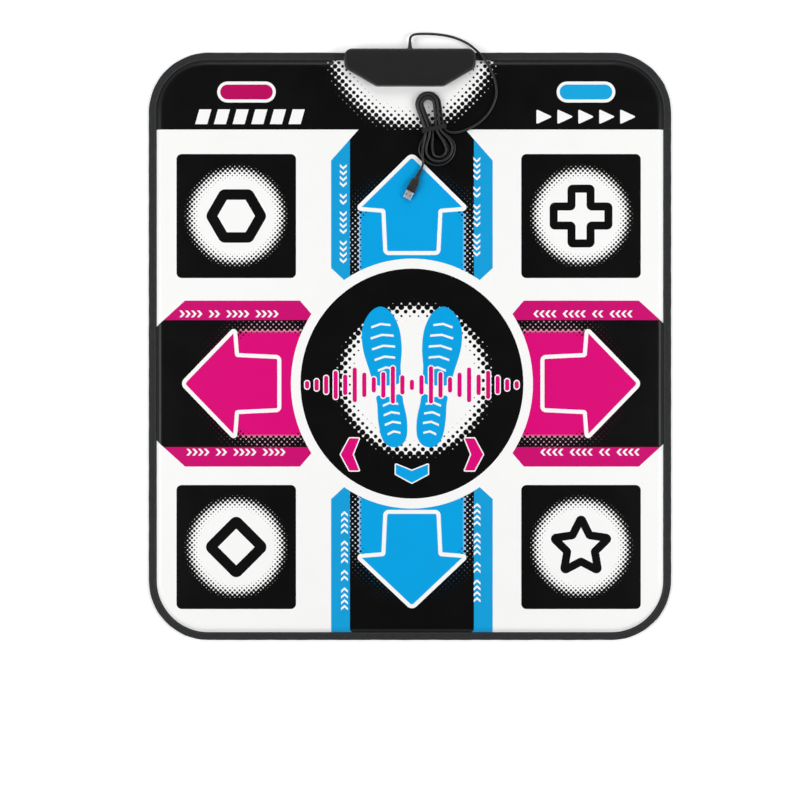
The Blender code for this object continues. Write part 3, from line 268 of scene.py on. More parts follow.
def hank_point(turns):
    """A point of the wound lead after a number of turns: inwards below, outwards above."""
    wound = HANK_TURNS_BELOW - abs(turns - HANK_TURNS_BELOW)
    flat = hank_spot(HANK_START + turns, wound)
    climb = min(1.0, max(0.0, (turns - HANK_TURNS_BELOW) * 2 + 0.5))
    layer = (1 - math.cos(math.pi * climb)) / 2
    lift = WAIST_LIFT * math.exp(-(flat.y / WAIST_LIFT_REACH) ** 2)
    turned = Matrix.Rotation(HANK_LEAN, 2) @ flat
    height = MAT_TOP + CORD_GAP + CORD_RADIUS + lift + LAYER_RISE * layer
    return Vector((HANK_X + turned.x, HANK_Y + turned.y, height))


def curve_point(before, start, end, after, t):
    """A point between the middle two of four points, on the smooth curve through them all."""
    return (
        2 * start + (end - before) * t
        + (2 * before - 5 * start + 4 * end - after) * t * t
        + (3 * start - before - 3 * end + after) * t * t * t
    ) / 2


def smooth_route(points, spacing):
    """Evenly spaced points along a smooth curve through a route's own points."""
    through = [Vector(p) for p in points]
    through = [2 * through[0] - through[1]] + through + [2 * through[-1] - through[-2]]
    steps = 12
    fine = []
    for i in range(1, len(through) - 2):
        fine += [curve_point(*through[i - 1:i + 3], k / steps) for k in range(steps)]
    fine.append(through[-2])
    travelled = [0.0]
    for a, b in zip(fine, fine[1:]):
        travelled.append(travelled[-1] + (b - a).length)
    count = max(2, round(travelled[-1] / spacing))
    spaced = []
    index = 0
    for k in range(count + 1):
        want = travelled[-1] * k / count
        while index < len(fine) - 2 and travelled[index + 1] < want:
            index += 1
        span = travelled[index + 1] - travelled[index]
        spaced.append(fine[index].lerp(fine[index + 1], (want - travelled[index]) / span))
    return spaced


loop_count = round(HANK_TURNS * LOOP_POINTS)
hank_points = [hank_point(HANK_TURNS * k / loop_count) for k in range(loop_count + 1)]
into_hank = (hank_points[1] - hank_points[0]).normalized()
out_of_hank = (hank_points[-1] - hank_points[-2]).normalized()
first = hank_points[0] - into_hank * 2 * CORD_RADIUS
last = hank_points[-1] + out_of_hank * 2 * CORD_RADIUS
cord_points = [CORD_EXIT, CORD_EXIT + Vector((0.0, 2 * CORD_RADIUS, 0.0))]
cord_points += [Vector(p) for p in LEAD_ROUTE]
cord_points += [first - into_hank * 2 * CORD_RADIUS, first] + hank_points + [last]
cord_points += [last + out_of_hank * 2 * CORD_RADIUS] + [Vector(p) for p in TAIL_ROUTE]
cord_points += [PLUG_START - PLUG_AHEAD * 2 * CORD_RADIUS, PLUG_START - PLUG_AHEAD * CORD_GAP]
cord_line = smooth_route(cord_points, CORD_SPACING)

# Soft vinyl sheath, extruded: a satin black, greyer and duller where dust has settled
sheath, tree, shader, place = new_finish("soft_vinyl_sheath")
dust = add_node(tree, 'ShaderNodeTexNoise', {"Vector": place, "Scale": 160.0, "Detail": 3.0})
# In a colour mix the factor is the first input, and the colours are the seventh and eighth
tone = add_node(tree, 'ShaderNodeMix', {
    0: dust.outputs["Fac"], 6: "0D0D0E", 7: "1A1A1B",
}, data_type='RGBA')
worn = add_node(tree, 'ShaderNodeMapRange', {
    "Value": dust.outputs["Fac"], "To Min": 0.38, "To Max": 0.58,
})
set_inputs(tree, shader, {
    "IOR": 1.52, "Base Color": tone.outputs[2], "Roughness": worn.outputs[0],
})
cord_curve = bpy.data.curves.new("lead", 'CURVE')
cord_curve.dimensions = '3D'
cord_curve.bevel_depth = CORD_RADIUS
cord_curve.bevel_resolution = 3
cord_curve.use_fill_caps = True
line = cord_curve.splines.new('POLY')
line.points.add(len(cord_line) - 1)
for target, point in zip(line.points, cord_line):
    target.co = (*point, 1.0)
cord_curve.materials.append(sheath)
lead = bpy.data.objects.new("lead", cord_curve)
bpy.context.scene.collection.objects.link(lead)
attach(lead, "root")
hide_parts("cord_lead", "cord_hank", "cord_tail")

# Printed cover. One sheet of 0.8 mm vinyl, screen printed in black, cyan and magenta on white,
# embossed with a fine grain and sewn into the tape at its edge. The ten zones are parts of the
# same sheet that give underfoot, so each is a skin of its own, level with the cover at its border.
MAT_WIDTH = 0.813
MAT_DEPTH = 0.914
MAT_CORNER = 0.093
COVER_THICK = 0.0008
COVER_EDGE_INSET = 0.0009
COVER_EDGE_TOP = 0.0028
SLOPE_START = 0.0128
SLOPE_END = 0.0202
ZONE_CROWN = 0.00022
ZONE_CROWN_REACH = 0.022
KEY_CROWN_REACH = 0.012
COVER_MESH_STEP = 0.0068
RING_CENTRE = Vector((0.003, -0.058))
RING_HALF = (0.1875, 0.1937)
HEADER_Y = 0.3365


def rounded(corners, radii, steps):
    """An outline, anticlockwise, with each corner, convex or not, turned into an arc."""
    count = len(corners)
    if not hasattr(radii, "__len__"):
        radii = (radii,) * count
    points = []
    for i in range(count):
        corner = Vector(corners[i])
        back = (Vector(corners[i - 1]) - corner).normalized()
        ahead = (Vector(corners[(i + 1) % count]) - corner).normalized()
        half = back.angle(ahead) / 2
        if radii[i] <= 0.0 or half > math.pi / 2 - 0.01:
            points.append(corner)
            continue
        centre = corner + (back + ahead).normalized() * radii[i] / math.sin(half)
        start = corner + back * radii[i] / math.tan(half) - centre
        turn = back.x * ahead.y - back.y * ahead.x
        sweep = (math.pi - 2 * half) * (1 if turn < 0 else -1)
        for k in range(steps + 1):
            points.append(centre + Matrix.Rotation(sweep * k / steps, 2) @ start)
    return points


def moved_out(corners, distance):
    """The corners of an anticlockwise outline whose sides all move outwards."""
    count = len(corners)
    moved = []
    for i in range(count):
        before = Vector(corners[i - 1])
        corner = Vector(corners[i])
        after = Vector(corners[(i + 1) % count])
        one = (corner - before).normalized()
        two = (after - corner).normalized()
        normal_one = Vector((one.y, -one.x))
        normal_two = Vector((two.y, -two.x))
        mitre = (normal_one + normal_two) / (1 + normal_one.dot(normal_two))
        moved.append(corner + mitre * distance)
    return moved


def box_of(width, depth, radius, steps, centre=(0.0, 0.0)):
    """A rounded rectangle about a centre, anticlockwise."""
    x, y = centre
    corners = (
        (x - width / 2, y - depth / 2), (x + width / 2, y - depth / 2),
        (x + width / 2, y + depth / 2), (x - width / 2, y + depth / 2),
    )
    return rounded(corners, radius, steps)


def disc(centre, half_x, half_y, sides):
    """An ellipse, anticlockwise."""
    angles = [2 * math.pi * k / sides for k in range(sides)]
    return [Vector((centre[0] + half_x * math.cos(a), centre[1] + half_y * math.sin(a))) for a in angles]


def mat_outline(inset, steps=20):
    """The mat's own outline, moved inwards."""
    return box_of(MAT_WIDTH - 2 * inset, MAT_DEPTH - 2 * inset, MAT_CORNER - inset, steps)


def inset_at(x, y):
    """How far inside the mat's outline a point lies."""
    across = abs(x) - (MAT_WIDTH / 2 - MAT_CORNER)
    along = abs(y) - (MAT_DEPTH / 2 - MAT_CORNER)
    outside = math.hypot(max(across, 0.0), max(along, 0.0))
    return MAT_CORNER - outside - min(max(across, along), 0.0)


# The box's outline, and the notch for its bottom shell, where the lid clamps the sheets
BOX_CORNERS = (
    (-0.052, 0.403), (0.052, 0.403), (0.102, 0.432), (0.102, 0.461), (-0.102, 0.461), (-0.102, 0.432),
)
BOX_CORNER = 0.012
SHELL_CORNERS = (
    (-0.0499, 0.4115), (0.0499, 0.4115), (0.1016, 0.44151), (0.1016, 0.4606), (-0.1016, 0.4606),
    (-0.1016, 0.44151),
)
NOTCH_GAP = 0.0005
notch_outline = rounded(moved_out(SHELL_CORNERS, NOTCH_GAP), 0.0065, 6)


def turned(points, turn):
    """Points from an arrow panel's own frame, in which it points along +Y, to the mat's."""
    return [Matrix.Rotation(turn, 2) @ Vector(p) + RING_CENTRE for p in points]


# The ten zones' outlines, which are the CAD's: four panels that follow the ring, four squares
# and two header keys
PANEL_TURNS = {"up": 0.0, "left": math.pi / 2, "down": math.pi, "right": -math.pi / 2}
PANEL_REACH = {"up": 0.3945, "left": 0.3868, "down": 0.3763, "right": 0.3808}
SQUARE_PLACES = {
    "rear_left": (-0.2698, 0.2022), "rear_right": (0.2656, 0.2022),
    "front_left": (-0.2698, -0.3118), "front_right": (0.2656, -0.3118),
}
PILL_PLACES = {"select": (-0.2539, 0.3948), "start": (0.2733, 0.3948)}
PANEL_HALF = 0.1255
PANEL_CHAMFER = 0.037
PANEL_SHOULDER = 0.020
SQUARE_WIDTH = 0.1856
SQUARE_DEPTH = 0.1926
SQUARE_CORNER = 0.008
KEY_WIDTH = 0.0910
KEY_DEPTH = 0.0326
KEY_CORNER = 0.01625
ARC_STEPS = 20
zone_outlines = {}
for zone, turn in PANEL_TURNS.items():
    sideways = zone in ("left", "right")
    along, across = RING_HALF if sideways else RING_HALF[::-1]
    reach = PANEL_REACH[zone]
    inner_half = PANEL_HALF - PANEL_SHOULDER
    arc = []
    for k in range(ARC_STEPS + 1):
        x = inner_half * (k / (ARC_STEPS / 2) - 1)
        arc.append(Vector((x, along * math.sqrt(1 - (x / across) ** 2))))
    shoulder = arc[0].y + PANEL_SHOULDER
    right_side = [
        (PANEL_HALF, shoulder), (PANEL_HALF, reach - PANEL_CHAMFER), (PANEL_HALF - PANEL_CHAMFER, reach),
    ]
    left_side = [(-x, y) for x, y in reversed(right_side)]
    zone_outlines[zone] = turned(arc + right_side + left_side, turn)
for zone, place in SQUARE_PLACES.items():
    zone_outlines[zone] = box_of(SQUARE_WIDTH, SQUARE_DEPTH, SQUARE_CORNER, 6, place)
for zone, place in PILL_PLACES.items():
    zone_outlines[zone] = box_of(KEY_WIDTH, KEY_DEPTH, KEY_CORNER, 12, place)

# The print, layer on layer: each ink with its outline
layers = [("white", mat_outline(COVER_EDGE_INSET))]


def ink(name, outline):
    """Add one printed area on top of the ones before."""
    layers.append((name, [Vector(p) for p in outline]))


# Header: a black field with a screened glow round the box, and two keys with white rims
ink("black", [(-0.45, HEADER_Y), (0.45, HEADER_Y), (0.45, 0.50), (-0.45, 0.50)])
ink("glow_header", [(-0.150, HEADER_Y), (0.156, HEADER_Y), (0.156, 0.499), (-0.150, 0.499)])
KEY_RIM = 0.0047
KEY_INNER_CORNER = 0.0115
for key, colour in (("select", "magenta_key"), ("start", "cyan_key")):
    ink("white", zone_outlines[key])
    inside = (KEY_WIDTH - 2 * KEY_RIM, KEY_DEPTH - 2 * KEY_RIM)
    ink(colour, box_of(*inside, KEY_INNER_CORNER, 10, PILL_PLACES[key]))

# Under the keys: slanted bars for the one, forward marks for the other
MARK_Y = 0.3564
MARK_HALF = 0.0115
MARK_SLANT = 0.0064
BAR_X = -0.2485
BAR_PITCH = 0.0290
BAR_HALF = 0.0094
for k in range(6):
    x = BAR_X + (k - 2.5) * BAR_PITCH
    low, high = x - MARK_SLANT / 2, x + MARK_SLANT / 2
    ink("white", [
        (low - BAR_HALF, MARK_Y - MARK_HALF), (low + BAR_HALF, MARK_Y - MARK_HALF),
        (high + BAR_HALF, MARK_Y + MARK_HALF), (high - BAR_HALF, MARK_Y + MARK_HALF),
    ])
ARROWHEAD_X = 0.2739
ARROWHEAD_PITCH = 0.0325
ARROWHEAD_HALF = 0.0125
for k in range(5):
    x = ARROWHEAD_X + (k - 2) * ARROWHEAD_PITCH
    back, tip = x - ARROWHEAD_HALF, x + ARROWHEAD_HALF
    head = ((back, MARK_Y - MARK_HALF), (tip, MARK_Y), (back, MARK_Y + MARK_HALF))
    ink("white", rounded(head, 0.0014, 3))

# Corner squares: black with a screened white glow, and a plain figure drawn in a thick stroke
STROKE = 0.0163
THIN_STROKE = 0.0125


def stroke(outline, radius, colour="black", fill=None, width=STROKE):
    """A closed line of even width along an outline, its corners rounded, and what it holds."""
    half = width / 2
    count = len(outline)
    radii = radius if hasattr(radius, "__len__") else (radius,) * count
    outer_radii = []
    inner_radii = []
    for i in range(count):
        back = Vector(outline[i - 1]) - Vector(outline[i])
        ahead = Vector(outline[(i + 1) % count]) - Vector(outline[i])
        convex = back.x * ahead.y - back.y * ahead.x < 0
        wide = radii[i] + half
        tight = max(0.0, radii[i] - half)
        outer_radii.append(wide if convex else tight)
        inner_radii.append(tight if convex else wide)
    ink(colour, rounded(moved_out(outline, half), outer_radii, 8))
    if fill:
        ink(fill, rounded(moved_out(outline, -half), inner_radii, 8))


def around(centre, points):
    """Points about a centre."""
    return [Vector(centre) + Vector(p) for p in points]


for corner, place in SQUARE_PLACES.items():
    ink(f"glow_{corner}", zone_outlines[corner])
HEXAGON_REACH = 0.0385
hexagon = disc((0.0, 0.0), HEXAGON_REACH, HEXAGON_REACH, 6)
stroke(around(SQUARE_PLACES["rear_left"], hexagon), 0.003, fill="glow_rear_left")
ARM = 0.0148
SPAN = 0.0425
cross = [
    (-ARM, -SPAN), (ARM, -SPAN), (ARM, -ARM), (SPAN, -ARM), (SPAN, ARM), (ARM, ARM),
    (ARM, SPAN), (-ARM, SPAN), (-ARM, ARM), (-SPAN, ARM), (-SPAN, -ARM), (-ARM, -ARM),
]
stroke(around(SQUARE_PLACES["rear_right"], cross), 0.002, fill="glow_rear_right", width=THIN_STROKE)
DIAMOND_REACH = 0.0400
diamond = [(0.0, -DIAMOND_REACH), (DIAMOND_REACH, 0.0), (0.0, DIAMOND_REACH), (-DIAMOND_REACH, 0.0)]
stroke(around(SQUARE_PLACES["front_left"], diamond), 0.003, fill="glow_front_left")
STAR_REACHES = (0.0450, 0.0225)
star = []
for k in range(10):
    angle = math.pi / 2 + math.pi / 5 * k
    reach = STAR_REACHES[k % 2]
    star.append(Vector((reach * math.cos(angle), reach * math.sin(angle))))
stroke(around(SQUARE_PLACES["front_right"], star), 0.002, fill="glow_front_right", width=THIN_STROKE)

# Arrow panels: two coloured strips, a screened field between them, and an outlined arrow
PANEL_COLOURS = {"up": "cyan", "down": "cyan", "left": "magenta", "right": "magenta"}
ARROW_SHIFT = {"up": 0.0, "down": -0.0035, "left": 0.0032, "right": 0.0}
ARROW_APEX = {"up": 0.3555, "down": 0.3485, "left": 0.3567, "right": 0.3540}
# Where the row of small chevrons begins in each strip: sideways from the panel's line, and out
ROW_STARTS = {
    "up": ((-0.1066, 0.3379), (0.1008, 0.3487)), "down": ((-0.1012, 0.3368), (0.1047, 0.3492)),
    "left": ((-0.1065, 0.3473), (0.1082, 0.3582)), "right": ((-0.1082, 0.3398), (0.1065, 0.3506)),
}
ROW_GROUPS = (4, 2, 4, 4)
ROW_PITCH = 0.0091
CHEVRON_HALF = 0.0053
for panel, turn in PANEL_TURNS.items():
    colour = PANEL_COLOURS[panel]
    sideways = panel in ("left", "right")
    half = 0.1289 if sideways else PANEL_HALF
    field = 0.0986 if sideways else 0.0963
    inner = 0.1552 if sideways else 0.1593
    chamfer = 0.0186 if sideways else 0.0201
    if panel == "down":
        outer = [(half, 0.405), (-half, 0.405)]
    elif panel == "up":
        outer = [(half, 0.3464), (0.0830, 0.3945), (-0.0830, 0.3945), (-half, 0.3464)]
    else:
        outer = [(half, 0.3524), (0.0870, 0.3985), (-0.0870, 0.3985), (-half, 0.3524)]
    inner_half = half - 0.0217
    edge = [(-inner_half, inner), (inner_half, inner), (half, inner + chamfer)] + outer
    edge.append((-half, inner + chamfer))
    ink(f"{colour}_strip", turned(edge, turn))
    if panel == "down":
        corners = [(-field, inner), (field, inner), (field, 0.3868), (-field, 0.3868)]
        screen = rounded(corners, (0.0, 0.0, 0.0058, 0.0058), 6)
    else:
        slope = (outer[1][1] - outer[0][1]) / (outer[0][0] - outer[1][0])
        shoulder = outer[0][1] + (half - field) * slope
        screen = [(-field, inner), (field, inner), (field, shoulder)] + outer[1:3] + [(-field, shoulder)]
    ink(f"screen_{panel}", turned(screen, turn))
    for across, start in ROW_STARTS[panel]:
        step = 0
        for group in ROW_GROUPS:
            for spot in [start - ROW_PITCH * (step + mark) for mark in range(group)]:
                chevron = [
                    (across - CHEVRON_HALF, spot + 0.0030), (across, spot - 0.0017),
                    (across + CHEVRON_HALF, spot + 0.0030), (across + CHEVRON_HALF, spot - 0.0009),
                    (across, spot - 0.0056), (across - CHEVRON_HALF, spot - 0.0009),
                ]
                ink("white", turned(chevron[::-1], turn))
            step += group + 1

ink("white", disc(RING_CENTRE, 0.1879, 0.1941, 120))
ink("glow_middle", disc(RING_CENTRE, 0.1731, 0.1786, 120))
for panel, turn in PANEL_TURNS.items():
    shift = ARROW_SHIFT[panel]
    glyph = [
        (-0.0412, 0.2027 + shift), (0.0412, 0.2027 + shift), (0.0443, 0.2684 + shift),
        (0.0850, 0.2716 + shift), (0.0, ARROW_APEX[panel]), (-0.0850, 0.2716 + shift),
        (-0.0443, 0.2684 + shift),
    ]
    stroke(
        turned(glyph, turn), (0.0055, 0.0055, 0.0020, 0.0026, 0.0072, 0.0026, 0.0020), colour="white",
        fill=PANEL_COLOURS[panel], width=0.0062,
    )

# Middle: a pair of shoe soles with their treads, a row of sound bars over them, and three
# direction marks below


def sole_outline(points):
    """A smooth closed line through a few points, anticlockwise."""
    count = len(points)
    steps = 6
    line = []
    for i in range(count):
        four = [Vector(points[(i + k) % count]) for k in (-1, 0, 1, 2)]
        line += [curve_point(*four, k / steps) for k in range(steps)]
    return line


SOLE_FRONT = (
    (-0.0190, -0.0100), (0.0000, -0.0130), (0.0200, -0.0080), (0.0270, 0.0180), (0.0320, 0.0500),
    (0.0290, 0.0800), (0.0150, 0.1020), (-0.0030, 0.1100), (-0.0190, 0.0980), (-0.0280, 0.0720),
    (-0.0280, 0.0420), (-0.0230, 0.0150),
)
SOLE_HEEL = (
    (-0.0190, -0.0950), (-0.0080, -0.1080), (0.0080, -0.1080), (0.0190, -0.0950), (0.0220, -0.0700),
    (0.0205, -0.0420), (0.0190, -0.0270), (0.0000, -0.0310), (-0.0180, -0.0290), (-0.0205, -0.0450),
    (-0.0225, -0.0700),
)
# The treads of a sole, from heel to toe: where each lies and half its width
TREADS = (
    (-0.090, 0.0100), (-0.075, 0.0125), (-0.060, 0.0125), (-0.045, 0.0120), (0.010, 0.0130),
    (0.027, 0.0160), (0.044, 0.0180), (0.061, 0.0180), (0.078, 0.0150),
)
TREAD_BOW = 0.0035
TREAD_THICK = 0.0034
SOLE_LEAN = math.radians(7.0)
SOLE_PLACE = (0.0385, 0.0100)


def soled(points, side):
    """Points of the right sole, or of its mirror image, on the mat."""
    lean = Matrix.Rotation(-side * SOLE_LEAN, 2)
    shape = [lean @ Vector((side * p[0], p[1])) for p in points]
    if side < 0:
        shape = shape[::-1]
    return [RING_CENTRE + Vector((side * SOLE_PLACE[0], SOLE_PLACE[1])) + p for p in shape]


for side in (-1, 1):
    for part in (SOLE_FRONT, SOLE_HEEL):
        ink("cyan", soled(sole_outline(part), side))
    for along, reach in TREADS:
        near = [(-reach, along), (0.0, along + TREAD_BOW), (reach, along)]
        far = [(x, y + TREAD_THICK) for x, y in reversed(near)]
        ink("white", soled(near + far, side))
# The sound bars' heights in steps of 2 mm, from the middle outwards, and how far apart they stand
SOUND_BARS = (8, 15, 29, 20, 12, 19, 27, 16, 22, 14, 9, 6)
SOUND_UNIT = 0.0020
SOUND_PITCH = 0.014798
for side in (-1, 1):
    for k, units in enumerate(SOUND_BARS):
        if k == 0 and side < 0:
            continue
        spot = (RING_CENTRE.x + side * k * SOUND_PITCH, RING_CENTRE.y - 0.0020)
        ink("white", box_of(0.0098, SOUND_UNIT * units + 0.0036, 0.0048, 5, spot))
        ink("magenta", box_of(0.0066, SOUND_UNIT * units, 0.0032, 5, spot))
WING = (
    (-0.0250, -0.0140), (0.0, -0.0040), (0.0250, -0.0140), (0.0250, 0.0010), (0.0, 0.0145),
    (-0.0250, 0.0010),
)
# The direction marks: ink, heading in quarter turns, and place about the ring's centre
WINGS = (
    ("magenta", 1, (-0.0960, -0.1100)), ("magenta", -1, (0.0960, -0.1100)),
    ("cyan", -2, (0.0, -0.1395)),
)
for colour, quarters, place in WINGS:
    spin = Matrix.Rotation(quarters * math.pi / 2, 2)
    shape = [RING_CENTRE + Vector(place) + spin @ Vector(p) for p in WING]
    ink("white", rounded(moved_out(shape, 0.0018), 0.0022, 4))
    ink(colour, rounded(shape, 0.0008, 3))


def vinyl(name, colour, deep):
    """Soft vinyl sheet under one ink: embossed grain, a satin skin and slow swells of the foam."""
    material, tree, shader, place = new_finish(name)
    handled = add_node(tree, 'ShaderNodeTexNoise', {"Vector": place, "Scale": 22.0, "Detail": 4.0})
    mottle = add_node(tree, 'ShaderNodeMix', {
        0: handled.outputs["Fac"], 6: colour, 7: deep,
    }, data_type='RGBA')
    sheen = add_node(tree, 'ShaderNodeMapRange', {
        "Value": handled.outputs["Fac"], "To Min": 0.31, "To Max": 0.41,
    })
    # The emboss of the real sheet is 0.7 mm; it is drawn at 1.6 mm so that it shows close by
    grain = add_node(tree, 'ShaderNodeTexVoronoi', {"Vector": place, "Scale": 620.0})
    emboss = add_node(tree, 'ShaderNodeBump', {
        "Height": grain.outputs["Distance"], "Strength": 0.35, "Distance": 0.00012,
    })
    swell = add_node(tree, 'ShaderNodeTexNoise', {"Vector": place, "Scale": 9.0, "Detail": 2.0})
    pillow = add_node(tree, 'ShaderNodeBump', {
        "Height": swell.outputs["Fac"], "Strength": 0.5, "Distance": 0.0030, "Normal": emboss.outputs[0],
    })
    set_inputs(tree, shader, {
        "IOR": 1.50, "Specular IOR Level": 0.24, "Base Color": mottle.outputs[2],
        "Roughness": sheen.outputs[0], "Normal": pillow.outputs[0],
    })
    return material, tree, shader, place, mottle.outputs[2]


def screen_dots(tree, place, pitch, share):
    """Round screen dots on a grid at 45 degrees: 1 inside a dot of that share of the pitch."""
    spun = add_node(
        tree, 'ShaderNodeVectorRotate', {"Vector": place, "Angle": math.pi / 4},
        rotation_type='Z_AXIS',
    )
    scaled = add_node(
        tree, 'ShaderNodeVectorMath', {0: spun.outputs[0], "Scale": 1 / pitch}, operation='SCALE',
    )
    cell = add_node(tree, 'ShaderNodeVectorMath', {0: scaled.outputs[0]}, operation='FRACTION')
    middle = add_node(tree, 'ShaderNodeVectorMath', {
        0: cell.outputs[0], 1: (0.5, 0.5, 0.0),
    }, operation='SUBTRACT')
    flat = add_node(tree, 'ShaderNodeVectorMath', {
        0: middle.outputs[0], 1: (1.0, 1.0, 0.0),
    }, operation='MULTIPLY')
    reach = add_node(tree, 'ShaderNodeVectorMath', {0: flat.outputs[0]}, operation='LENGTH')
    over = add_node(tree, 'ShaderNodeMath', {0: share, 1: reach.outputs["Value"]}, operation='SUBTRACT')
    edge = add_node(tree, 'ShaderNodeMapRange', {
        "Value": over.outputs[0], "From Min": -0.03, "From Max": 0.03,
    })
    return edge.outputs[0]


WHITE = "FBFBFA"
WHITE_DEEP = "F7F7F6"
BLACK = "040405"
CYAN = "00A6E8"
CYAN_DEEP = "00A0E2"
MAGENTA = "E0047B"
MAGENTA_DEEP = "D90276"
# The inks of an arrow panel's screened field, and how far they pale towards its sides
FIELD_INKS = {"cyan": (CYAN, CYAN_DEEP, 0.78), "magenta": (MAGENTA, MAGENTA_DEEP, 0.48)}


def glow(name, centre, solid, reach, pitch):
    """A glow that a black screen closes round: solid inside, black outside."""
    material, tree, shader, place, mottle = vinyl(name, WHITE, WHITE_DEEP)
    away = add_node(tree, 'ShaderNodeVectorMath', {
        0: place, 1: (centre[0], centre[1], MAT_TOP),
    }, operation='DISTANCE')
    share = add_node(tree, 'ShaderNodeMapRange', {
        "Value": away.outputs["Value"], "From Min": solid, "From Max": reach,
        "To Min": 0.0, "To Max": 0.74,
    })
    dots = screen_dots(tree, place, pitch, share.outputs[0])
    printed = add_node(tree, 'ShaderNodeMix', {0: dots, 6: mottle, 7: BLACK}, data_type='RGBA')
    set_inputs(tree, shader, {"Base Color": printed.outputs[2]})
    return material


def panel_screen(name, turn, colour, deep, paleness):
    """An arrow panel's field: its colour, closed by a black screen at its sides and outer end."""
    material, tree, shader, place, mottle = vinyl(name, colour, deep)
    local = add_node(tree, 'ShaderNodeVectorMath', {
        0: place, 1: (RING_CENTRE.x, RING_CENTRE.y, MAT_TOP),
    }, operation='SUBTRACT')
    spun = add_node(
        tree, 'ShaderNodeVectorRotate', {"Vector": local.outputs[0], "Angle": -turn},
        rotation_type='Z_AXIS',
    )
    parts = add_node(tree, 'ShaderNodeSeparateXYZ', {0: spun.outputs[0]})
    across = add_node(tree, 'ShaderNodeMath', {0: parts.outputs["X"]}, operation='ABSOLUTE')
    side = add_node(tree, 'ShaderNodeMapRange', {
        "Value": across.outputs[0], "From Min": 0.0765, "From Max": 0.0850,
        "To Min": 0.0, "To Max": 0.55,
    })
    core = add_node(tree, 'ShaderNodeVectorMath', {
        0: spun.outputs[0], 1: (0.0, 0.2180, 0.0),
    }, operation='DISTANCE')
    steep = add_node(tree, 'ShaderNodeMapRange', {
        "Value": core.outputs["Value"], "From Min": 0.0800, "From Max": 0.1000,
        "To Min": 0.0, "To Max": 0.62,
    })
    faint = add_node(tree, 'ShaderNodeMapRange', {
        "Value": core.outputs["Value"], "From Min": 0.1000, "From Max": 0.1350,
        "To Min": 0.0, "To Max": 0.12,
    })
    outer = add_node(tree, 'ShaderNodeMath', {0: steep.outputs[0], 1: faint.outputs[0]}, operation='ADD')
    share = add_node(tree, 'ShaderNodeMath', {0: side.outputs[0], 1: outer.outputs[0]}, operation='MAXIMUM')
    dots = screen_dots(tree, place, 0.0060, share.outputs[0])
    pale = add_node(tree, 'ShaderNodeMapRange', {
        "Value": across.outputs[0], "From Min": 0.0785, "From Max": 0.0860,
        "To Min": 0.0, "To Max": paleness,
    })
    tinted = add_node(tree, 'ShaderNodeMix', {0: pale.outputs[0], 6: mottle, 7: WHITE}, data_type='RGBA')
    printed = add_node(tree, 'ShaderNodeMix', {0: dots, 6: tinted.outputs[2], 7: BLACK}, data_type='RGBA')
    set_inputs(tree, shader, {"Base Color": printed.outputs[2]})
    return material


inks = {
    "white": vinyl("white_vinyl", WHITE, WHITE_DEEP)[0],
    "black": vinyl("black_printed_vinyl", BLACK, "070708")[0],
    "cyan": vinyl("cyan_printed_vinyl", CYAN, CYAN_DEEP)[0],
    "cyan_strip": vinyl("cyan_printed_vinyl_strip", "13A2DE", "0E9CD8")[0],
    "cyan_key": vinyl("cyan_printed_vinyl_key", "16AAE2", "12A4DC")[0],
    "magenta": vinyl("magenta_printed_vinyl", MAGENTA, MAGENTA_DEEP)[0],
    "magenta_strip": vinyl("magenta_printed_vinyl_strip", "D00A73", "C8086E")[0],
    "magenta_key": vinyl("magenta_printed_vinyl_key", "C00560", "B6045A")[0],
    "glow_header": glow("header_glow_print", (0.0030, 0.4680), 0.0950, 0.1420, 0.0082),
    "glow_middle": glow("middle_glow_print", (0.0070, -0.0525), 0.0920, 0.1270, 0.0094),
}
for corner, place in SQUARE_PLACES.items():
    inks[f"glow_{corner}"] = glow(f"{corner}_glow_print", place, 0.0560, 0.0830, 0.0052)
for panel, turn in PANEL_TURNS.items():
    field = FIELD_INKS[PANEL_COLOURS[panel]]
    inks[f"screen_{panel}"] = panel_screen(f"{panel}_screen_print", turn, *field)


def walked(outline, step):
    """An outline with points added so that no side is longer than a step."""
    points = []
    for a, b in zip(outline, outline[1:] + outline[:1]):
        count = max(1, math.ceil((b - a).length / step))
        points += [a.lerp(b, k / count) for k in range(count)]
    return points


def slope_height(inset):
    """The cover's top at the mat's margin, where the foam ends and the tape begins."""
    share = min(1.0, max(0.0, (inset - SLOPE_START) / (SLOPE_END - SLOPE_START)))
    return COVER_EDGE_TOP + (MAT_TOP - COVER_EDGE_TOP) * math.sin(share * math.pi / 2)


def from_border(point, outline):
    """How far a point lies from an outline."""
    least = 1.0
    for a, b in zip(outline, outline[1:] + outline[:1]):
        side = b - a
        t = min(1.0, max(0.0, (point - a).dot(side) / side.length_squared))
        least = min(least, (point - a - side * t).length)
    return least


def add_to_net(net, outline, step):
    """Put an outline into a net of points and faces, and return its number there."""
    points, faces = net
    around_it = walked(outline, step)
    faces.append(list(range(len(points), len(points) + len(around_it))))
    points.extend(around_it)
    return len(faces) - 1


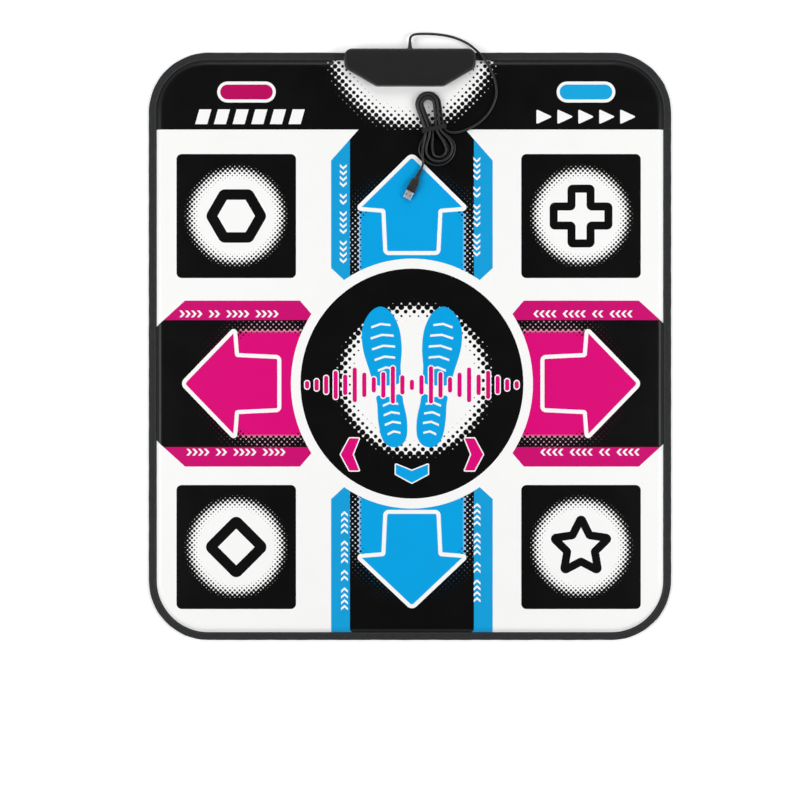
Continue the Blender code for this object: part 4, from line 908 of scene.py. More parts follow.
# Every printed outline, every zone and the margin's own lines cut one flat net of triangles
cover_net = ([], [])
layer_faces = [add_to_net(cover_net, outline, COVER_MESH_STEP) for name, outline in layers]
zone_faces = {
    add_to_net(cover_net, outline, COVER_MESH_STEP): zone for zone, outline in zone_outlines.items()
}
notch_face = add_to_net(cover_net, notch_outline, COVER_MESH_STEP)
for inset in (0.0120, SLOPE_START, 0.0143, 0.0160, 0.0179, SLOPE_END, 0.0240):
    add_to_net(cover_net, mat_outline(inset), COVER_MESH_STEP)
rows = round(MAT_DEPTH / (COVER_MESH_STEP * 0.87))
for row in range(rows):
    y = (row + 0.5) * MAT_DEPTH / rows - MAT_DEPTH / 2
    count = round(MAT_WIDTH / COVER_MESH_STEP)
    for k in range(count):
        x = (k + (0.25 if row % 2 else 0.75)) * MAT_WIDTH / count - MAT_WIDTH / 2
        if inset_at(x, y) > 0.026:
            cover_net[0].append(Vector((x, y)))
flat, _, triangles, _, _, within = delaunay_2d_cdt(cover_net[0], [], cover_net[1], 1, 1e-5)

skins = {name: ([], []) for name in ["root"] + list(zone_outlines)}
for triangle, faces in zip(triangles, within):
    faces = set(faces)
    if layer_faces[0] not in faces or notch_face in faces:
        continue
    zone = next((name for face, name in zone_faces.items() if face in faces), "root")
    printed = next(layers[k][0] for k in range(len(layers) - 1, -1, -1) if layer_faces[k] in faces)
    skins[zone][0].append(tuple(triangle))
    skins[zone][1].append(printed)


def skin_mesh(name, corners, colours, height):
    """A mesh of some of the net's triangles, each with its ink, at its height."""
    used = sorted({v for triangle in corners for v in triangle})
    index = {v: k for k, v in enumerate(used)}
    points = [(flat[v].x, flat[v].y, height(flat[v])) for v in used]
    faces = []
    for a, b, c in corners:
        turn = (flat[b] - flat[a]).cross(flat[c] - flat[a])
        faces.append((index[a], index[b], index[c]) if turn > 0 else (index[a], index[c], index[b]))
    mesh = bpy.data.meshes.new(name)
    mesh.from_pydata(points, [], faces)
    used_inks = sorted(set(colours))
    for colour in used_inks:
        mesh.materials.append(inks[colour])
    mesh.polygons.foreach_set("material_index", [used_inks.index(c) for c in colours])
    mesh.shade_smooth()
    return mesh, sum(p.area for p in mesh.polygons)


def give_thickness(piece, thick):
    """A wall below a sheet's top surface, with crisp cut edges."""
    uses = [0] * len(piece.data.edges)
    for corner in piece.data.loops:
        uses[corner.edge_index] += 1
    crisp = piece.data.attributes.new("sharp_edge", 'BOOLEAN', 'EDGE')
    crisp.data.foreach_set("value", [count == 1 for count in uses])
    wall = piece.modifiers.new("thickness", 'SOLIDIFY')
    wall.thickness = thick
    wall.offset = -1.0


cover_mesh, cover_area = skin_mesh(
    "cover_skin", *skins["root"], lambda p: slope_height(inset_at(p.x, p.y))
)
cover = make_piece("cover_skin", cover_mesh, [])
give_thickness(cover, COVER_THICK)
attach(cover, "root")
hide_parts("top_cover")

for zone, outline in zone_outlines.items():
    reach = KEY_CROWN_REACH if zone in PILL_PLACES else ZONE_CROWN_REACH

    def crown(point):
        """The skin's top: level with the cover at its border, a little proud inside."""
        t = min(1.0, from_border(point, outline) / reach)
        return MAT_TOP + ZONE_CROWN * t * t * (3 - 2 * t)

    zone_mesh, zone_area = skin_mesh(f"{zone}_skin", *skins[zone], crown)
    skin = make_piece(f"{zone}_skin", zone_mesh, [])
    give_thickness(skin, COVER_THICK)
    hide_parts(f"{zone}_step_panel")
    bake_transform(skin)

# Non-slip base. Black woven polyester with rubber dots printed on its underside in a staggered
# grid. It rests on the dots; at its margin it rises over the tape that is folded under it.
BASE_TOP = 0.0008
BASE_EDGE_TOP = 0.0017
BASE_WALL = 0.00045
DOT_PITCH = 0.0120
DOT_RADIUS = 0.0017
DOT_DROP = 0.00035
DOT_MARGIN = 0.0195
BASE_MESH_STEP = 0.020

# Woven polyester: matt black cloth, with a painted highlight that makes the high threads a shade paler. Its
# threads of 0.5 mm are drawn at 1.5 mm so that they show close by.
backing, tree, shader, place = new_finish("woven_polyester_backing")
warp, weft = [
    add_node(tree, 'ShaderNodeTexWave', {
        "Vector": place, "Scale": 210.0, "Distortion": 0.4,
    }, bands_direction=way) for way in 'XY'
]
crossing = add_node(
    tree, 'ShaderNodeMath', {0: warp.outputs["Fac"], 1: weft.outputs["Fac"]}, operation='MULTIPLY',
)
relief = add_node(tree, 'ShaderNodeBump', {
    "Height": crossing.outputs[0], "Strength": 0.6, "Distance": 0.0003,
})
# Painted highlight: the crossings, the weave's high points, are mixed a shade paler than the cloth
cloth_with_painted_highlight = add_node(tree, 'ShaderNodeMix', {
    0: crossing.outputs[0], 6: "161617", 7: "2C2C2E",
}, data_type='RGBA')
set_inputs(tree, shader, {
    "Base Color": cloth_with_painted_highlight.outputs[2], "Roughness": 0.88, "Sheen Weight": 0.15,
    "Normal": relief.outputs[0],
})


def mottled(name, low, high, grain, finish):
    """A finish whose colour wanders between two tones at a grain, its other inputs plain."""
    material, tree, shader, place = new_finish(name)
    noise = add_node(tree, 'ShaderNodeTexNoise', {"Vector": place, **grain})
    tone = add_node(tree, 'ShaderNodeMix', {
        0: noise.outputs["Fac"], 6: low, 7: high,
    }, data_type='RGBA')
    set_inputs(tree, shader, {"Base Color": tone.outputs[2], **finish})
    return material


# Rubber, printed through a stencil and cured: dull dark grey, a little uneven
rubber = mottled("cast_rubber_dots", "2C2C2E", "3A3A3C", {"Scale": 300.0}, {"Roughness": 0.72})


def base_height(inset):
    """The base's top: lifted over the folded tape, flat inside it."""
    share = min(1.0, max(0.0, (inset - SLOPE_START) / 0.0030))
    return BASE_EDGE_TOP + (BASE_TOP - BASE_EDGE_TOP) * share


box_notch = rounded(moved_out(BOX_CORNERS, NOTCH_GAP), BOX_CORNER + NOTCH_GAP, 8)
base_net = ([], [])
for outline in (
    mat_outline(COVER_EDGE_INSET), mat_outline(SLOPE_START), mat_outline(0.0158), box_notch,
):
    add_to_net(base_net, outline, BASE_MESH_STEP)
for row in range(44):
    for k in range(40):
        x = (k - 19.5) * BASE_MESH_STEP
        y = (row - 21.5) * BASE_MESH_STEP
        if inset_at(x, y) > 0.025:
            base_net[0].append(Vector((x, y)))
spots, _, cells, _, _, inside = delaunay_2d_cdt(base_net[0], [], base_net[1], 1, 1e-5)
kept = [cell for cell, faces in zip(cells, inside) if 0 in faces and 3 not in faces]
used = sorted({v for cell in kept for v in cell})
index = {v: k for k, v in enumerate(used)}
base_mesh = bpy.data.meshes.new("non_slip_backing")
base_mesh.from_pydata(
    [(spots[v].x, spots[v].y, base_height(inset_at(spots[v].x, spots[v].y))) for v in used], [],
    [[index[v] for v in cell] for cell in kept],
)
base_mesh.shade_smooth()
if base_mesh.polygons[0].normal.z < 0:
    base_mesh.flip_normals()
base = make_piece("non_slip_backing", base_mesh, [backing])
give_thickness(base, BASE_WALL)
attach(base, "root")
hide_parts("non_slip_base")


def grow_on_points(name, points, shape, material, spins=None):
    """Geometry Nodes that set one shape on every point, as one plain mesh."""
    seeds = bpy.data.meshes.new(f"{name}_spots")
    seeds.from_pydata([tuple(p) for p in points], [], [])
    if spins:
        turns = seeds.attributes.new("spin", 'FLOAT_VECTOR', 'POINT')
        turns.data.foreach_set("vector", [value for spin in spins for value in spin])
    host = bpy.data.objects.new(f"{name}_spots", seeds)
    bpy.context.scene.collection.objects.link(host)
    pattern = make_piece(f"{name}_pattern", shape, [])
    group = bpy.data.node_groups.new(name, 'GeometryNodeTree')
    group.interface.new_socket("Spots", in_out='INPUT', socket_type='NodeSocketGeometry')
    group.interface.new_socket("Shape", in_out='INPUT', socket_type='NodeSocketObject')
    group.interface.new_socket("Pieces", in_out='OUTPUT', socket_type='NodeSocketGeometry')
    entry = add_node(group, 'NodeGroupInput')
    leave = add_node(group, 'NodeGroupOutput')
    given = add_node(group, 'GeometryNodeObjectInfo', {"Object": entry.outputs["Shape"]})
    spin = add_node(group, 'GeometryNodeInputNamedAttribute', {"Name": "spin"}, data_type='FLOAT_VECTOR')
    placed = add_node(group, 'GeometryNodeInstanceOnPoints', {
        "Points": entry.outputs["Spots"], "Instance": given.outputs["Geometry"],
        "Rotation": spin.outputs["Attribute"],
    })
    real = add_node(group, 'GeometryNodeRealizeInstances', {"Geometry": placed.outputs[0]})
    dressed = add_node(group, 'GeometryNodeSetMaterial', {
        "Geometry": real.outputs[0], "Material": material,
    })
    set_inputs(group, leave, {"Pieces": dressed.outputs[0]})
    step = host.modifiers.new(name, 'NODES')
    step.node_group = group
    for item in group.interface.items_tree:
        if item.name == "Shape" and item.in_out == 'INPUT':
            step[item.identifier] = pattern
    bpy.context.view_layer.update()
    grown = bpy.data.meshes.new_from_object(host.evaluated_get(bpy.context.evaluated_depsgraph_get()))
    grown.name = name
    bpy.data.objects.remove(host)
    bpy.data.objects.remove(pattern)
    piece = bpy.data.objects.new(name, grown)
    bpy.context.scene.collection.objects.link(piece)
    return piece


def lofted(bm, loops, closed=False):
    """Faces between loops of as many points each: shut at both ends, or closed on itself."""
    rings = [[bm.verts.new(p) for p in loop] for loop in loops]
    for lower, upper in zip(rings, rings[1:] + rings[:1] if closed else rings[1:]):
        for k in range(len(lower)):
            after = (k + 1) % len(lower)
            bm.faces.new((lower[k], lower[after], upper[after], upper[k]))
    if not closed:
        bm.faces.new(rings[0])
        bm.faces.new(rings[-1])


def pin(bm, spot, profile, sides=24):
    """A turned form about a vertical axis, closed at both ends, from (radius, height) pairs."""
    lofted(bm, [[(p.x, p.y, z) for p in disc(spot, r, r, sides)] for r, z in profile])


def finished(name, bm, sharp=35):
    """A mesh from a closed form, smooth but for its edges."""
    bmesh.ops.recalc_face_normals(bm, faces=bm.faces)
    mesh = bpy.data.meshes.new(name)
    bm.to_mesh(mesh)
    bm.free()
    mesh.shade_smooth()
    mesh.set_sharp_from_angle(angle=math.radians(sharp))
    return mesh


dot_spots = []
for row in range(76):
    for k in range(68):
        x = (k - 33.5) * DOT_PITCH + (DOT_PITCH / 2 if row % 2 else 0.0)
        y = (row - 37.5) * DOT_PITCH
        under_box = y > 0.395 and abs(x) < 0.110
        if inset_at(x, y) > DOT_MARGIN and not under_box:
            dot_spots.append((x, y, 0.0))
dot_profile = (
    (DOT_RADIUS * 0.55, 0.0), (DOT_RADIUS * 0.90, DOT_DROP * 0.45), (DOT_RADIUS, DOT_DROP * 1.15),
)
bm = bmesh.new()
pin(bm, (0.0, 0.0), dot_profile, 7)
dots = grow_on_points("non_slip_dots", dot_spots, finished("dot", bm, 40), rubber)
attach(dots, "root")

# Foam. Two sheets of 2 mm closed-cell polyethylene foam: one pads the mat, and one, punched
# with round holes, keeps the contact films apart and is squeezed flat under a pressed zone.
FOAM_INSET = 0.0205
BASE_FOAM = (0.0011, 0.0031)
SPACER = (0.0040, 0.0060)

# Polyethylene foam, sliced from the block: matt off-white, pitted with cut cells, which are
# 0.5 mm across and drawn at 1.1 mm
foam, tree, shader, place = new_finish("closed_cell_foam")
bubbles = add_node(tree, 'ShaderNodeTexVoronoi', {"Vector": place, "Scale": 900.0})
pores = add_node(tree, 'ShaderNodeBump', {
    "Height": bubbles.outputs["Distance"], "Strength": 0.5, "Distance": 0.0002,
})
tone = add_node(tree, 'ShaderNodeMix', {
    0: bubbles.outputs["Distance"], 6: "E9E8E2", 7: "D8D7D0",
}, data_type='RGBA')
set_inputs(tree, shader, {
    "Base Color": tone.outputs[2], "Roughness": 0.9, "Normal": pores.outputs[0],
})


def punched_sheet(name, outline, holes, bottom, top):
    """A flat sheet between two levels with holes right through it."""
    bm = bmesh.new()
    edges = []
    for border in [outline] + holes:
        verts = [bm.verts.new((p[0], p[1], top)) for p in border]
        edges += [bm.edges.new((a, b)) for a, b in zip(verts, verts[1:] + verts[:1])]
    bmesh.ops.triangle_fill(bm, use_beauty=True, edges=edges)
    copied = bmesh.ops.extrude_face_region(bm, geom=list(bm.faces))
    lower = [v for v in copied["geom"] if isinstance(v, bmesh.types.BMVert)]
    bmesh.ops.translate(bm, verts=lower, vec=(0, 0, bottom - top))
    bmesh.ops.recalc_face_normals(bm, faces=bm.faces)
    mesh = bpy.data.meshes.new(name)
    bm.to_mesh(mesh)
    bm.free()
    return mesh


def cut_by(outline, notch):
    """The mat's inner outline without the box's notch at its rear edge."""
    rear = max(p.y for p in outline)
    front = [p for p in notch if p.y < rear - 0.0002]
    front.sort(key=lambda p: math.atan2(p.y - 0.44, p.x))
    joined = []
    for p, q in zip(outline, outline[1:] + outline[:1]):
        joined.append(p)
        if p.x > 0.11 and q.x < -0.11 and p.y > 0.40:
            joined.append(Vector((front[-1].x, rear)))
            joined += front[::-1]
            joined.append(Vector((front[0].x, rear)))
    return joined


foam_outline = cut_by(mat_outline(FOAM_INSET), notch_outline)
pad = make_piece("padding_foam", punched_sheet("padding_foam", foam_outline, [], *BASE_FOAM), [foam])
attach(pad, "root")
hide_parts("base_foam")
HOLE_RADIUS = 0.018
HOLE_PITCH = 0.062
HOLE_MARGIN = 0.0168
RING_MARGIN = 0.0120
OUTER_MARGIN = 0.0100
KEY_HOLE_RADIUS = 0.010
KEY_HOLE_PITCH = 0.026
SPACER_GAP = 0.0003
HOLE_STEPS = 28


def zone_holes(zone):
    """The holes of the spacer foam under one zone: nine under a foot, three under a key."""
    if zone in PILL_PLACES:
        x, y = PILL_PLACES[zone]
        return [
            disc((x + KEY_HOLE_PITCH * a, y), KEY_HOLE_RADIUS, KEY_HOLE_RADIUS, HOLE_STEPS)
            for a in (-1, 0, 1)
        ]
    if zone in SQUARE_PLACES:
        x, y = SQUARE_PLACES[zone]
        across = SQUARE_WIDTH / 2 - HOLE_MARGIN - HOLE_RADIUS
        along = SQUARE_DEPTH / 2 - HOLE_MARGIN - HOLE_RADIUS
        return [
            disc((x + across * a, y + along * b), HOLE_RADIUS, HOLE_RADIUS, HOLE_STEPS)
            for a in (-1, 0, 1) for b in (-1, 0, 1)
        ]
    ring = RING_HALF[0] if zone in ("left", "right") else RING_HALF[1]
    first = ring + RING_MARGIN + HOLE_RADIUS
    pitch = (PANEL_REACH[zone] - OUTER_MARGIN - HOLE_RADIUS - first) / 2
    spots = [(a * HOLE_PITCH, first + row * pitch) for row in range(3) for a in (-1, 0, 1)]
    centres = turned(spots, PANEL_TURNS[zone])
    return [disc(c, HOLE_RADIUS, HOLE_RADIUS, HOLE_STEPS) for c in centres]


windows = [moved_out(outline, SPACER_GAP) for outline in zone_outlines.values()]
spacer = make_piece(
    "spacer_sheet", punched_sheet("spacer_sheet", foam_outline, windows, *SPACER), [foam]
)
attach(spacer, "root")
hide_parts("spacer_foam")
for zone, outline in zone_outlines.items():
    name = f"{zone}_spacer"
    insert = make_piece(
        name, punched_sheet(name, moved_out(outline, -SPACER_GAP), zone_holes(zone), *SPACER), [foam]
    )
    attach(insert, "root")
    # The zone sinks by 2.0 mm, so its film ends 0.3 mm above the foam's lower face, on what is left
    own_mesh(insert)

# Contact films. Pale polyester film 0.3 mm thick, glossy but for the duller silver tracks that
# are printed on it: one below the spacer foam and one above it, with tails on the box's board.
film, tree, shader, place = new_finish("printed_polyester_film")
tracks = add_node(tree, 'ShaderNodeTexWave', {
    "Vector": place, "Scale": 55.0, "Distortion": 0.0,
}, bands_direction='DIAGONAL')
silver = add_node(tree, 'ShaderNodeMapRange', {
    "Value": tracks.outputs["Fac"], "From Min": 0.62, "From Max": 0.70,
})
tone = add_node(tree, 'ShaderNodeMix', {
    0: silver.outputs[0], 6: "C9CCC8", 7: "8F9498",
}, data_type='RGBA')
matte = add_node(tree, 'ShaderNodeMapRange', {
    "Value": silver.outputs[0], "To Min": 0.18, "To Max": 0.42,
})
set_inputs(tree, shader, {"Base Color": tone.outputs[2], "Roughness": matte.outputs[0]})
film_nodes = ["lower_membrane", "upper_membrane"] + [f"{zone}_contact_film" for zone in zone_outlines]
for name in film_nodes:
    nodes[name].data.materials.clear()
    nodes[name].data.materials.append(film)

# Edge tape. A woven polyester tape folded round the mat's edge, 12.5 mm deep on both faces, and
# lockstitched through every layer. Its ends lie against the two sides of the controller box.
TAPE_TOP = 0.0037
TAPE_WALL = 0.0006
TAPE_STEP = 0.0042
STITCH_INSET = 0.0102
STITCH_PITCH = 0.0040
STITCH_LENGTH = 0.0031
STITCH_HEIGHTS = (0.00350, 0.00028)
THREAD_RADIUS = 0.00026
TAPE_DEPTH = 0.0125

# Woven polyester tape: charcoal twill, soft and barely shiny. Its lines of 0.6 mm are drawn
# 0.9 mm apart.
tape_cloth, tree, shader, place = new_finish("woven_edge_tape")
twill = add_node(tree, 'ShaderNodeTexWave', {
    "Vector": place, "Scale": 500.0, "Distortion": 0.3,
}, bands_direction='DIAGONAL')
fuzz = add_node(tree, 'ShaderNodeTexNoise', {"Vector": place, "Scale": 160.0, "Detail": 4.0})
weave = add_node(tree, 'ShaderNodeMath', {
    0: twill.outputs["Fac"], 1: fuzz.outputs["Fac"],
}, operation='MULTIPLY')
relief = add_node(tree, 'ShaderNodeBump', {
    "Height": weave.outputs[0], "Strength": 0.7, "Distance": 0.0003,
})
tone = add_node(tree, 'ShaderNodeMix', {
    0: weave.outputs[0], 6: "1C1D1E", 7: "383A3C",
}, data_type='RGBA')
set_inputs(tree, shader, {
    "Base Color": tone.outputs[2], "Roughness": 0.80, "Specular IOR Level": 0.30,
    "Sheen Weight": 0.12, "Sheen Roughness": 0.45, "Normal": relief.outputs[0],
})
# Spun polyester thread, a shade paler than the tape
thread = mottled("polyester_thread", "2B2C2E", "505256", {"Scale": 900.0}, {"Roughness": 0.55})


def box_side(y):
    """How far from the middle the tape ends, beside the box's side or its rear corner."""
    into = max(0.0, y - (BOX_CORNERS[3][1] - BOX_CORNER))
    return BOX_CORNERS[3][0] + NOTCH_GAP - (BOX_CORNER - math.sqrt(BOX_CORNER ** 2 - into ** 2))


def edge_line(inset):
    """The mat's outline at an inset, from the left side of the box round to its right side."""
    loop = mat_outline(inset)
    rear = MAT_DEPTH / 2 - inset
    end = box_side(rear)
    return [Vector((-end, rear))] + loop[63:] + loop[:63] + [Vector((end, rear))]


full = edge_line(0.0)
counts = [max(1, round((q - p).length / TAPE_STEP)) for p, q in zip(full, full[1:])]


def spread(points):
    """The same number of points along each inset's line, so that they pair up."""
    fine = []
    for p, q, count in zip(points, points[1:], counts):
        fine += [p.lerp(q, k / count) for k in range(count)]
    return fine + [points[-1]]


half = TAPE_TOP / 2
fold = []
for k in range(9):
    turn = math.pi * k / 8
    fold.append((half - half * math.sin(turn), half + half * math.cos(turn)))
top_face = [
    (TAPE_DEPTH, 0.00348), (0.0121, 0.00364), (0.0112, 0.00366), (0.0106, 0.00356), (STITCH_INSET, 0.00346),
    (0.0098, 0.00356), (0.0091, 0.00368), (0.0072, TAPE_TOP), (0.0045, TAPE_TOP),
]
bottom_face = [(inset, TAPE_TOP - z) for inset, z in reversed(top_face)]
profile = top_face + fold + bottom_face
columns = []
for inset, z in profile:
    line = spread(edge_line(inset))
    column = []
    for k, p in enumerate(line):
        # The tape is drawn in a little between its stitches, more in some places than in others
        pull = 0.00010 * (math.sin(k * 0.83) + math.sin(k * 0.31 + 1.0) + 2.0) * (1 - inset / TAPE_DEPTH)
        column.append((p.x * (1 - pull / MAT_WIDTH * 2), p.y * (1 - pull / MAT_DEPTH * 2), z))
    columns.append(column)
rows = len(columns[0])
tape_mesh = bpy.data.meshes.new("edge_tape")
tape_mesh.from_pydata(
    [p for column in columns for p in column], [],
    [
        (c * rows + r, c * rows + r + 1, (c + 1) * rows + r + 1, (c + 1) * rows + r)
        for c in range(len(columns) - 1) for r in range(rows - 1)
    ],
)
tape_mesh.shade_smooth()
if tape_mesh.polygons[0].normal.z < 0:
    tape_mesh.flip_normals()
tape = make_piece("edge_tape", tape_mesh, [tape_cloth])
give_thickness(tape, TAPE_WALL)
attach(tape, "root")
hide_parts("edge_binding")

stitch_profile = (
    (THREAD_RADIUS * 0.45, -STITCH_LENGTH / 2), (THREAD_RADIUS, -STITCH_LENGTH * 0.32),
    (THREAD_RADIUS, STITCH_LENGTH * 0.32), (THREAD_RADIUS * 0.45, STITCH_LENGTH / 2),
)
bm = bmesh.new()
pin(bm, (0.0, 0.0), stitch_profile, 6)
bm.transform(Matrix.Rotation(math.pi / 2, 4, 'Y'))
stitch = finished("stitch", bm, 40)
seam_spots = []
seam_spins = []
travelled = STITCH_PITCH / 2
line = spread(edge_line(STITCH_INSET))
done = 0.0
for p, q in zip(line, line[1:]):
    reach = (q - p).length
    while travelled < done + reach:
        spot = p.lerp(q, (travelled - done) / reach)
        heading = math.atan2(q.y - p.y, q.x - p.x)
        for z in STITCH_HEIGHTS:
            seam_spots.append((spot.x, spot.y, z))
            seam_spins.append((0.0, 0.0, heading))
        travelled += STITCH_PITCH
    done += reach
seam = grow_on_points("edge_stitches", seam_spots, stitch, thread, seam_spins)
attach(seam, "root")

# Controller box. Two shells moulded in black ABS with a spark-eroded texture. The lid's rim and
# the bottom shell grip the mat's rear edge between them, drawn together by four screws below.
BOX_TOP = 0.0220
LID_RIM = 0.0080
LID_WALL = 0.0022
LID_ROUND = 0.0038
BOSS_RADIUS = 0.0046
BOSS_TOP = 0.0206
BORE_RADIUS = 0.0016
BORE_TOP = 0.0149
NECK_RADIUS = 0.0033
NECK_REACH = (0.4570, 0.4700)
BOX_SCREWS = ((-0.082, 0.448), (-0.064, 0.430), (0.064, 0.430), (0.082, 0.448))

# ABS, moulded: near-black and finely pitted, and rubbed smoother in places down its sides. The
# spark texture of 0.3 mm is drawn at 0.8 mm.
plastic, tree, shader, place = new_finish("spark_textured_abs")
spark = add_node(tree, 'ShaderNodeTexNoise', {"Vector": place, "Scale": 1250.0, "Detail": 2.0})
pitted = add_node(tree, 'ShaderNodeBump', {
    "Height": spark.outputs["Fac"], "Strength": 0.30, "Distance": 0.00015,
})
rubbed = add_node(tree, 'ShaderNodeTexNoise', {"Vector": place, "Scale": 45.0, "Detail": 5.0})
height = add_node(tree, 'ShaderNodeSeparateXYZ', {0: place})
brim = add_node(tree, 'ShaderNodeMapRange', {
    "Value": height.outputs["Z"], "From Min": 0.0185, "From Max": 0.0215, "To Min": 1.0, "To Max": 0.0,
})
wear = add_node(
    tree, 'ShaderNodeMath', {0: rubbed.outputs["Fac"], 1: brim.outputs[0]}, operation='MULTIPLY',
)
tone = add_node(tree, 'ShaderNodeMix', {
    0: rubbed.outputs["Fac"], 6: "0C0C0D", 7: "151517",
}, data_type='RGBA')
polish = add_node(tree, 'ShaderNodeMapRange', {
    "Value": wear.outputs[0], "To Min": 0.50, "To Max": 0.34,
})
set_inputs(tree, shader, {
    "Base Color": tone.outputs[2], "Roughness": polish.outputs[0], "Specular IOR Level": 0.40,
    "Normal": pitted.outputs[0],
})


def box_loop(inset, z):
    """The box's outline, moved inwards, at a height."""
    corners = moved_out(BOX_CORNERS, -inset)
    return [(p.x, p.y, z) for p in rounded(corners, max(BOX_CORNER - inset, 0.0012), 8)]


def cut(piece, tool_mesh):
    """Take a closed form out of a piece, for good."""
    tool = make_piece("cutter", tool_mesh, [])
    step = piece.modifiers.new("cut", 'BOOLEAN')
    step.operation = 'DIFFERENCE'
    step.object = tool
    bpy.context.view_layer.update()
    shaped = bpy.data.meshes.new_from_object(piece.evaluated_get(bpy.context.evaluated_depsgraph_get()))
    piece.modifiers.clear()
    piece.data = shaped
    bpy.data.objects.remove(tool)


bm = bmesh.new()
lid_profile = [
    (LID_WALL + 0.0020, BOX_TOP - LID_WALL), (LID_WALL, BOX_TOP - LID_WALL - 0.0020),
    (LID_WALL, LID_RIM), (0.0003, LID_RIM), (0.0, LID_RIM + 0.0003), (0.0, LID_RIM + 0.0020),
    (0.0002, BOX_TOP - LID_ROUND),
]
for k in range(1, 9):
    turn = math.pi / 2 * k / 8
    inset = 0.0002 + LID_ROUND * (1 - math.cos(turn))
    lid_profile.append((inset, BOX_TOP - 0.0003 - LID_ROUND * (1 - math.sin(turn))))
lid_profile += [(0.0075, BOX_TOP - 0.0001), (0.0120, BOX_TOP), (0.0170, BOX_TOP)]
lofted(bm, [box_loop(inset, z) for inset, z in lid_profile])
boss_profile = (
    (BORE_RADIUS, BORE_TOP), (BORE_RADIUS, LID_RIM), (BOSS_RADIUS, LID_RIM), (BOSS_RADIUS, BOSS_TOP),
)
for spot in BOX_SCREWS:
    pin(bm, spot, boss_profile)
lid = make_piece("controller_lid", finished("controller_lid", bm), [plastic])
bm = bmesh.new()
neck = disc((0.0, CORD_EXIT.z), NECK_RADIUS, NECK_RADIUS, 24)
lofted(bm, [[(p.x, y, p.y) for p in neck] for y in NECK_REACH])
cut(lid, finished("neck_cutter", bm))
lid.data.set_sharp_from_angle(angle=math.radians(35))
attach(lid, "root")
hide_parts("controller_top_shell")
for slot in nodes["controller_bottom_shell"].material_slots:
    slot.material = plastic

# Fasteners. Self-tapping screws with pan heads and cross recesses, driven upwards through the
# bottom shell into the lid's posts. Zinc plating makes them pale and bright, faintly spangled.
SCREW_HEIGHT = 0.0006

steel, tree, shader, place = new_finish("zinc_plated_steel")
spangle = add_node(tree, 'ShaderNodeTexNoise', {"Vector": place, "Scale": 420.0, "Detail": 4.0})
tone = add_node(tree, 'ShaderNodeMix', {
    0: spangle.outputs["Fac"], 6: "CBCCCE", 7: "E8E9EA",
}, data_type='RGBA')
brushed = add_node(tree, 'ShaderNodeMapRange', {
    "Value": spangle.outputs["Fac"], "To Min": 0.42, "To Max": 0.58,
})
set_inputs(tree, shader, {
    "Metallic": 1.0, "Base Color": tone.outputs[2], "Roughness": brushed.outputs[0],
})

bm = bmesh.new()
pin(bm, (0.0, 0.0), (
    (0.0024, 0.0), (0.0029, 0.0004), (0.0030, 0.0009), (0.0030, 0.0015), (0.0013, 0.0015),
    (0.0013, 0.0122), (0.0008, 0.0140),
), 20)
screw = make_piece("screw_shape", finished("screw_shape", bm), [])
for turn in (0.0, math.pi / 2):
    arm = []
    for z, reach, half in ((-0.0005, 0.0019, 0.00042), (0.0009, 0.0010, 0.00026)):
        spun = [Matrix.Rotation(turn, 2) @ Vector((a * reach, b * half)) for a, b in square_corners]
        arm.append([(p.x, p.y, z) for p in spun])
    bm = bmesh.new()
    lofted(bm, arm)
    cut(screw, finished("recess_cutter", bm))
screw.data.set_sharp_from_angle(angle=math.radians(35))
screw_spots = [(x, y, SCREW_HEIGHT) for x, y in BOX_SCREWS]
screw_turns = [(0.0, 0.0, 0.4 + 0.9 * k) for k in range(len(BOX_SCREWS))]
screws = grow_on_points("closing_screws", screw_spots, screw.data, steel, screw_turns)
bpy.data.objects.remove(screw)
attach(screws, "root")
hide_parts(*[f"controller_screw_{k}" for k in range(1, 5)])

# Electronics. A single-sided board with its parts, and the bar that presses the film tails on
# its contact pads. The board's green mask is glossy, and paler where it runs over the copper.
board_finish, tree, shader, place = new_finish("green_masked_board")
routes = add_node(tree, 'ShaderNodeTexBrick', {
    "Vector": place, "Scale": 260.0, "Mortar Size": 0.05, "Mortar Smooth": 0.1,
    "Color1": "0F5A35", "Color2": "0F5A35", "Mortar": "2F8A55",
})
raised_copper = add_node(tree, 'ShaderNodeBump', {
    "Height": routes.outputs["Fac"], "Strength": 0.4, "Distance": 0.00006,
})
set_inputs(tree, shader, {
    "Base Color": routes.outputs["Color"], "Roughness": 0.30, "Normal": raised_copper.outputs[0],
})


def speckled(name, low, high, scale, rough):
    """A finish with a slow change of tone, of gloss and of height."""
    material, tree, shader, place = new_finish(name)
    spots = add_node(tree, 'ShaderNodeTexNoise', {"Vector": place, "Scale": scale, "Detail": 3.0})
    tone = add_node(tree, 'ShaderNodeMix', {
        0: spots.outputs["Fac"], 6: low, 7: high,
    }, data_type='RGBA')
    gloss = add_node(tree, 'ShaderNodeMapRange', {
        "Value": spots.outputs["Fac"], "To Min": rough[0], "To Max": rough[1],
    })
    relief = add_node(tree, 'ShaderNodeBump', {
        "Height": spots.outputs["Fac"], "Strength": 0.25, "Distance": 0.0001,
    })
    set_inputs(tree, shader, {
        "Base Color": tone.outputs[2], "Roughness": gloss.outputs[0], "Normal": relief.outputs[0],
    })
    return material


# Epoxy resin and nylon, both moulded: a dull black, and a milky white with a faint gloss
black_resin = speckled("moulded_black_resin", "0E0E0F", "1B1B1D", 700.0, (0.42, 0.60))
white_nylon = speckled("white_nylon", "E6E4DC", "F2F1EB", 350.0, (0.38, 0.52))
node_finishes = {
    "circuit_board": board_finish, "controller_chip": black_resin, "capacitor": black_resin,
    "crystal": steel, "lead_socket": white_nylon, "membrane_clamp": white_nylon,
    "clamp_screw_1": steel, "clamp_screw_2": steel, "inner_lead": sheath, "plug_tongue": white_nylon,
}
for name, finish in node_finishes.items():
    for slot in nodes[name].material_slots:
        slot.material = finish

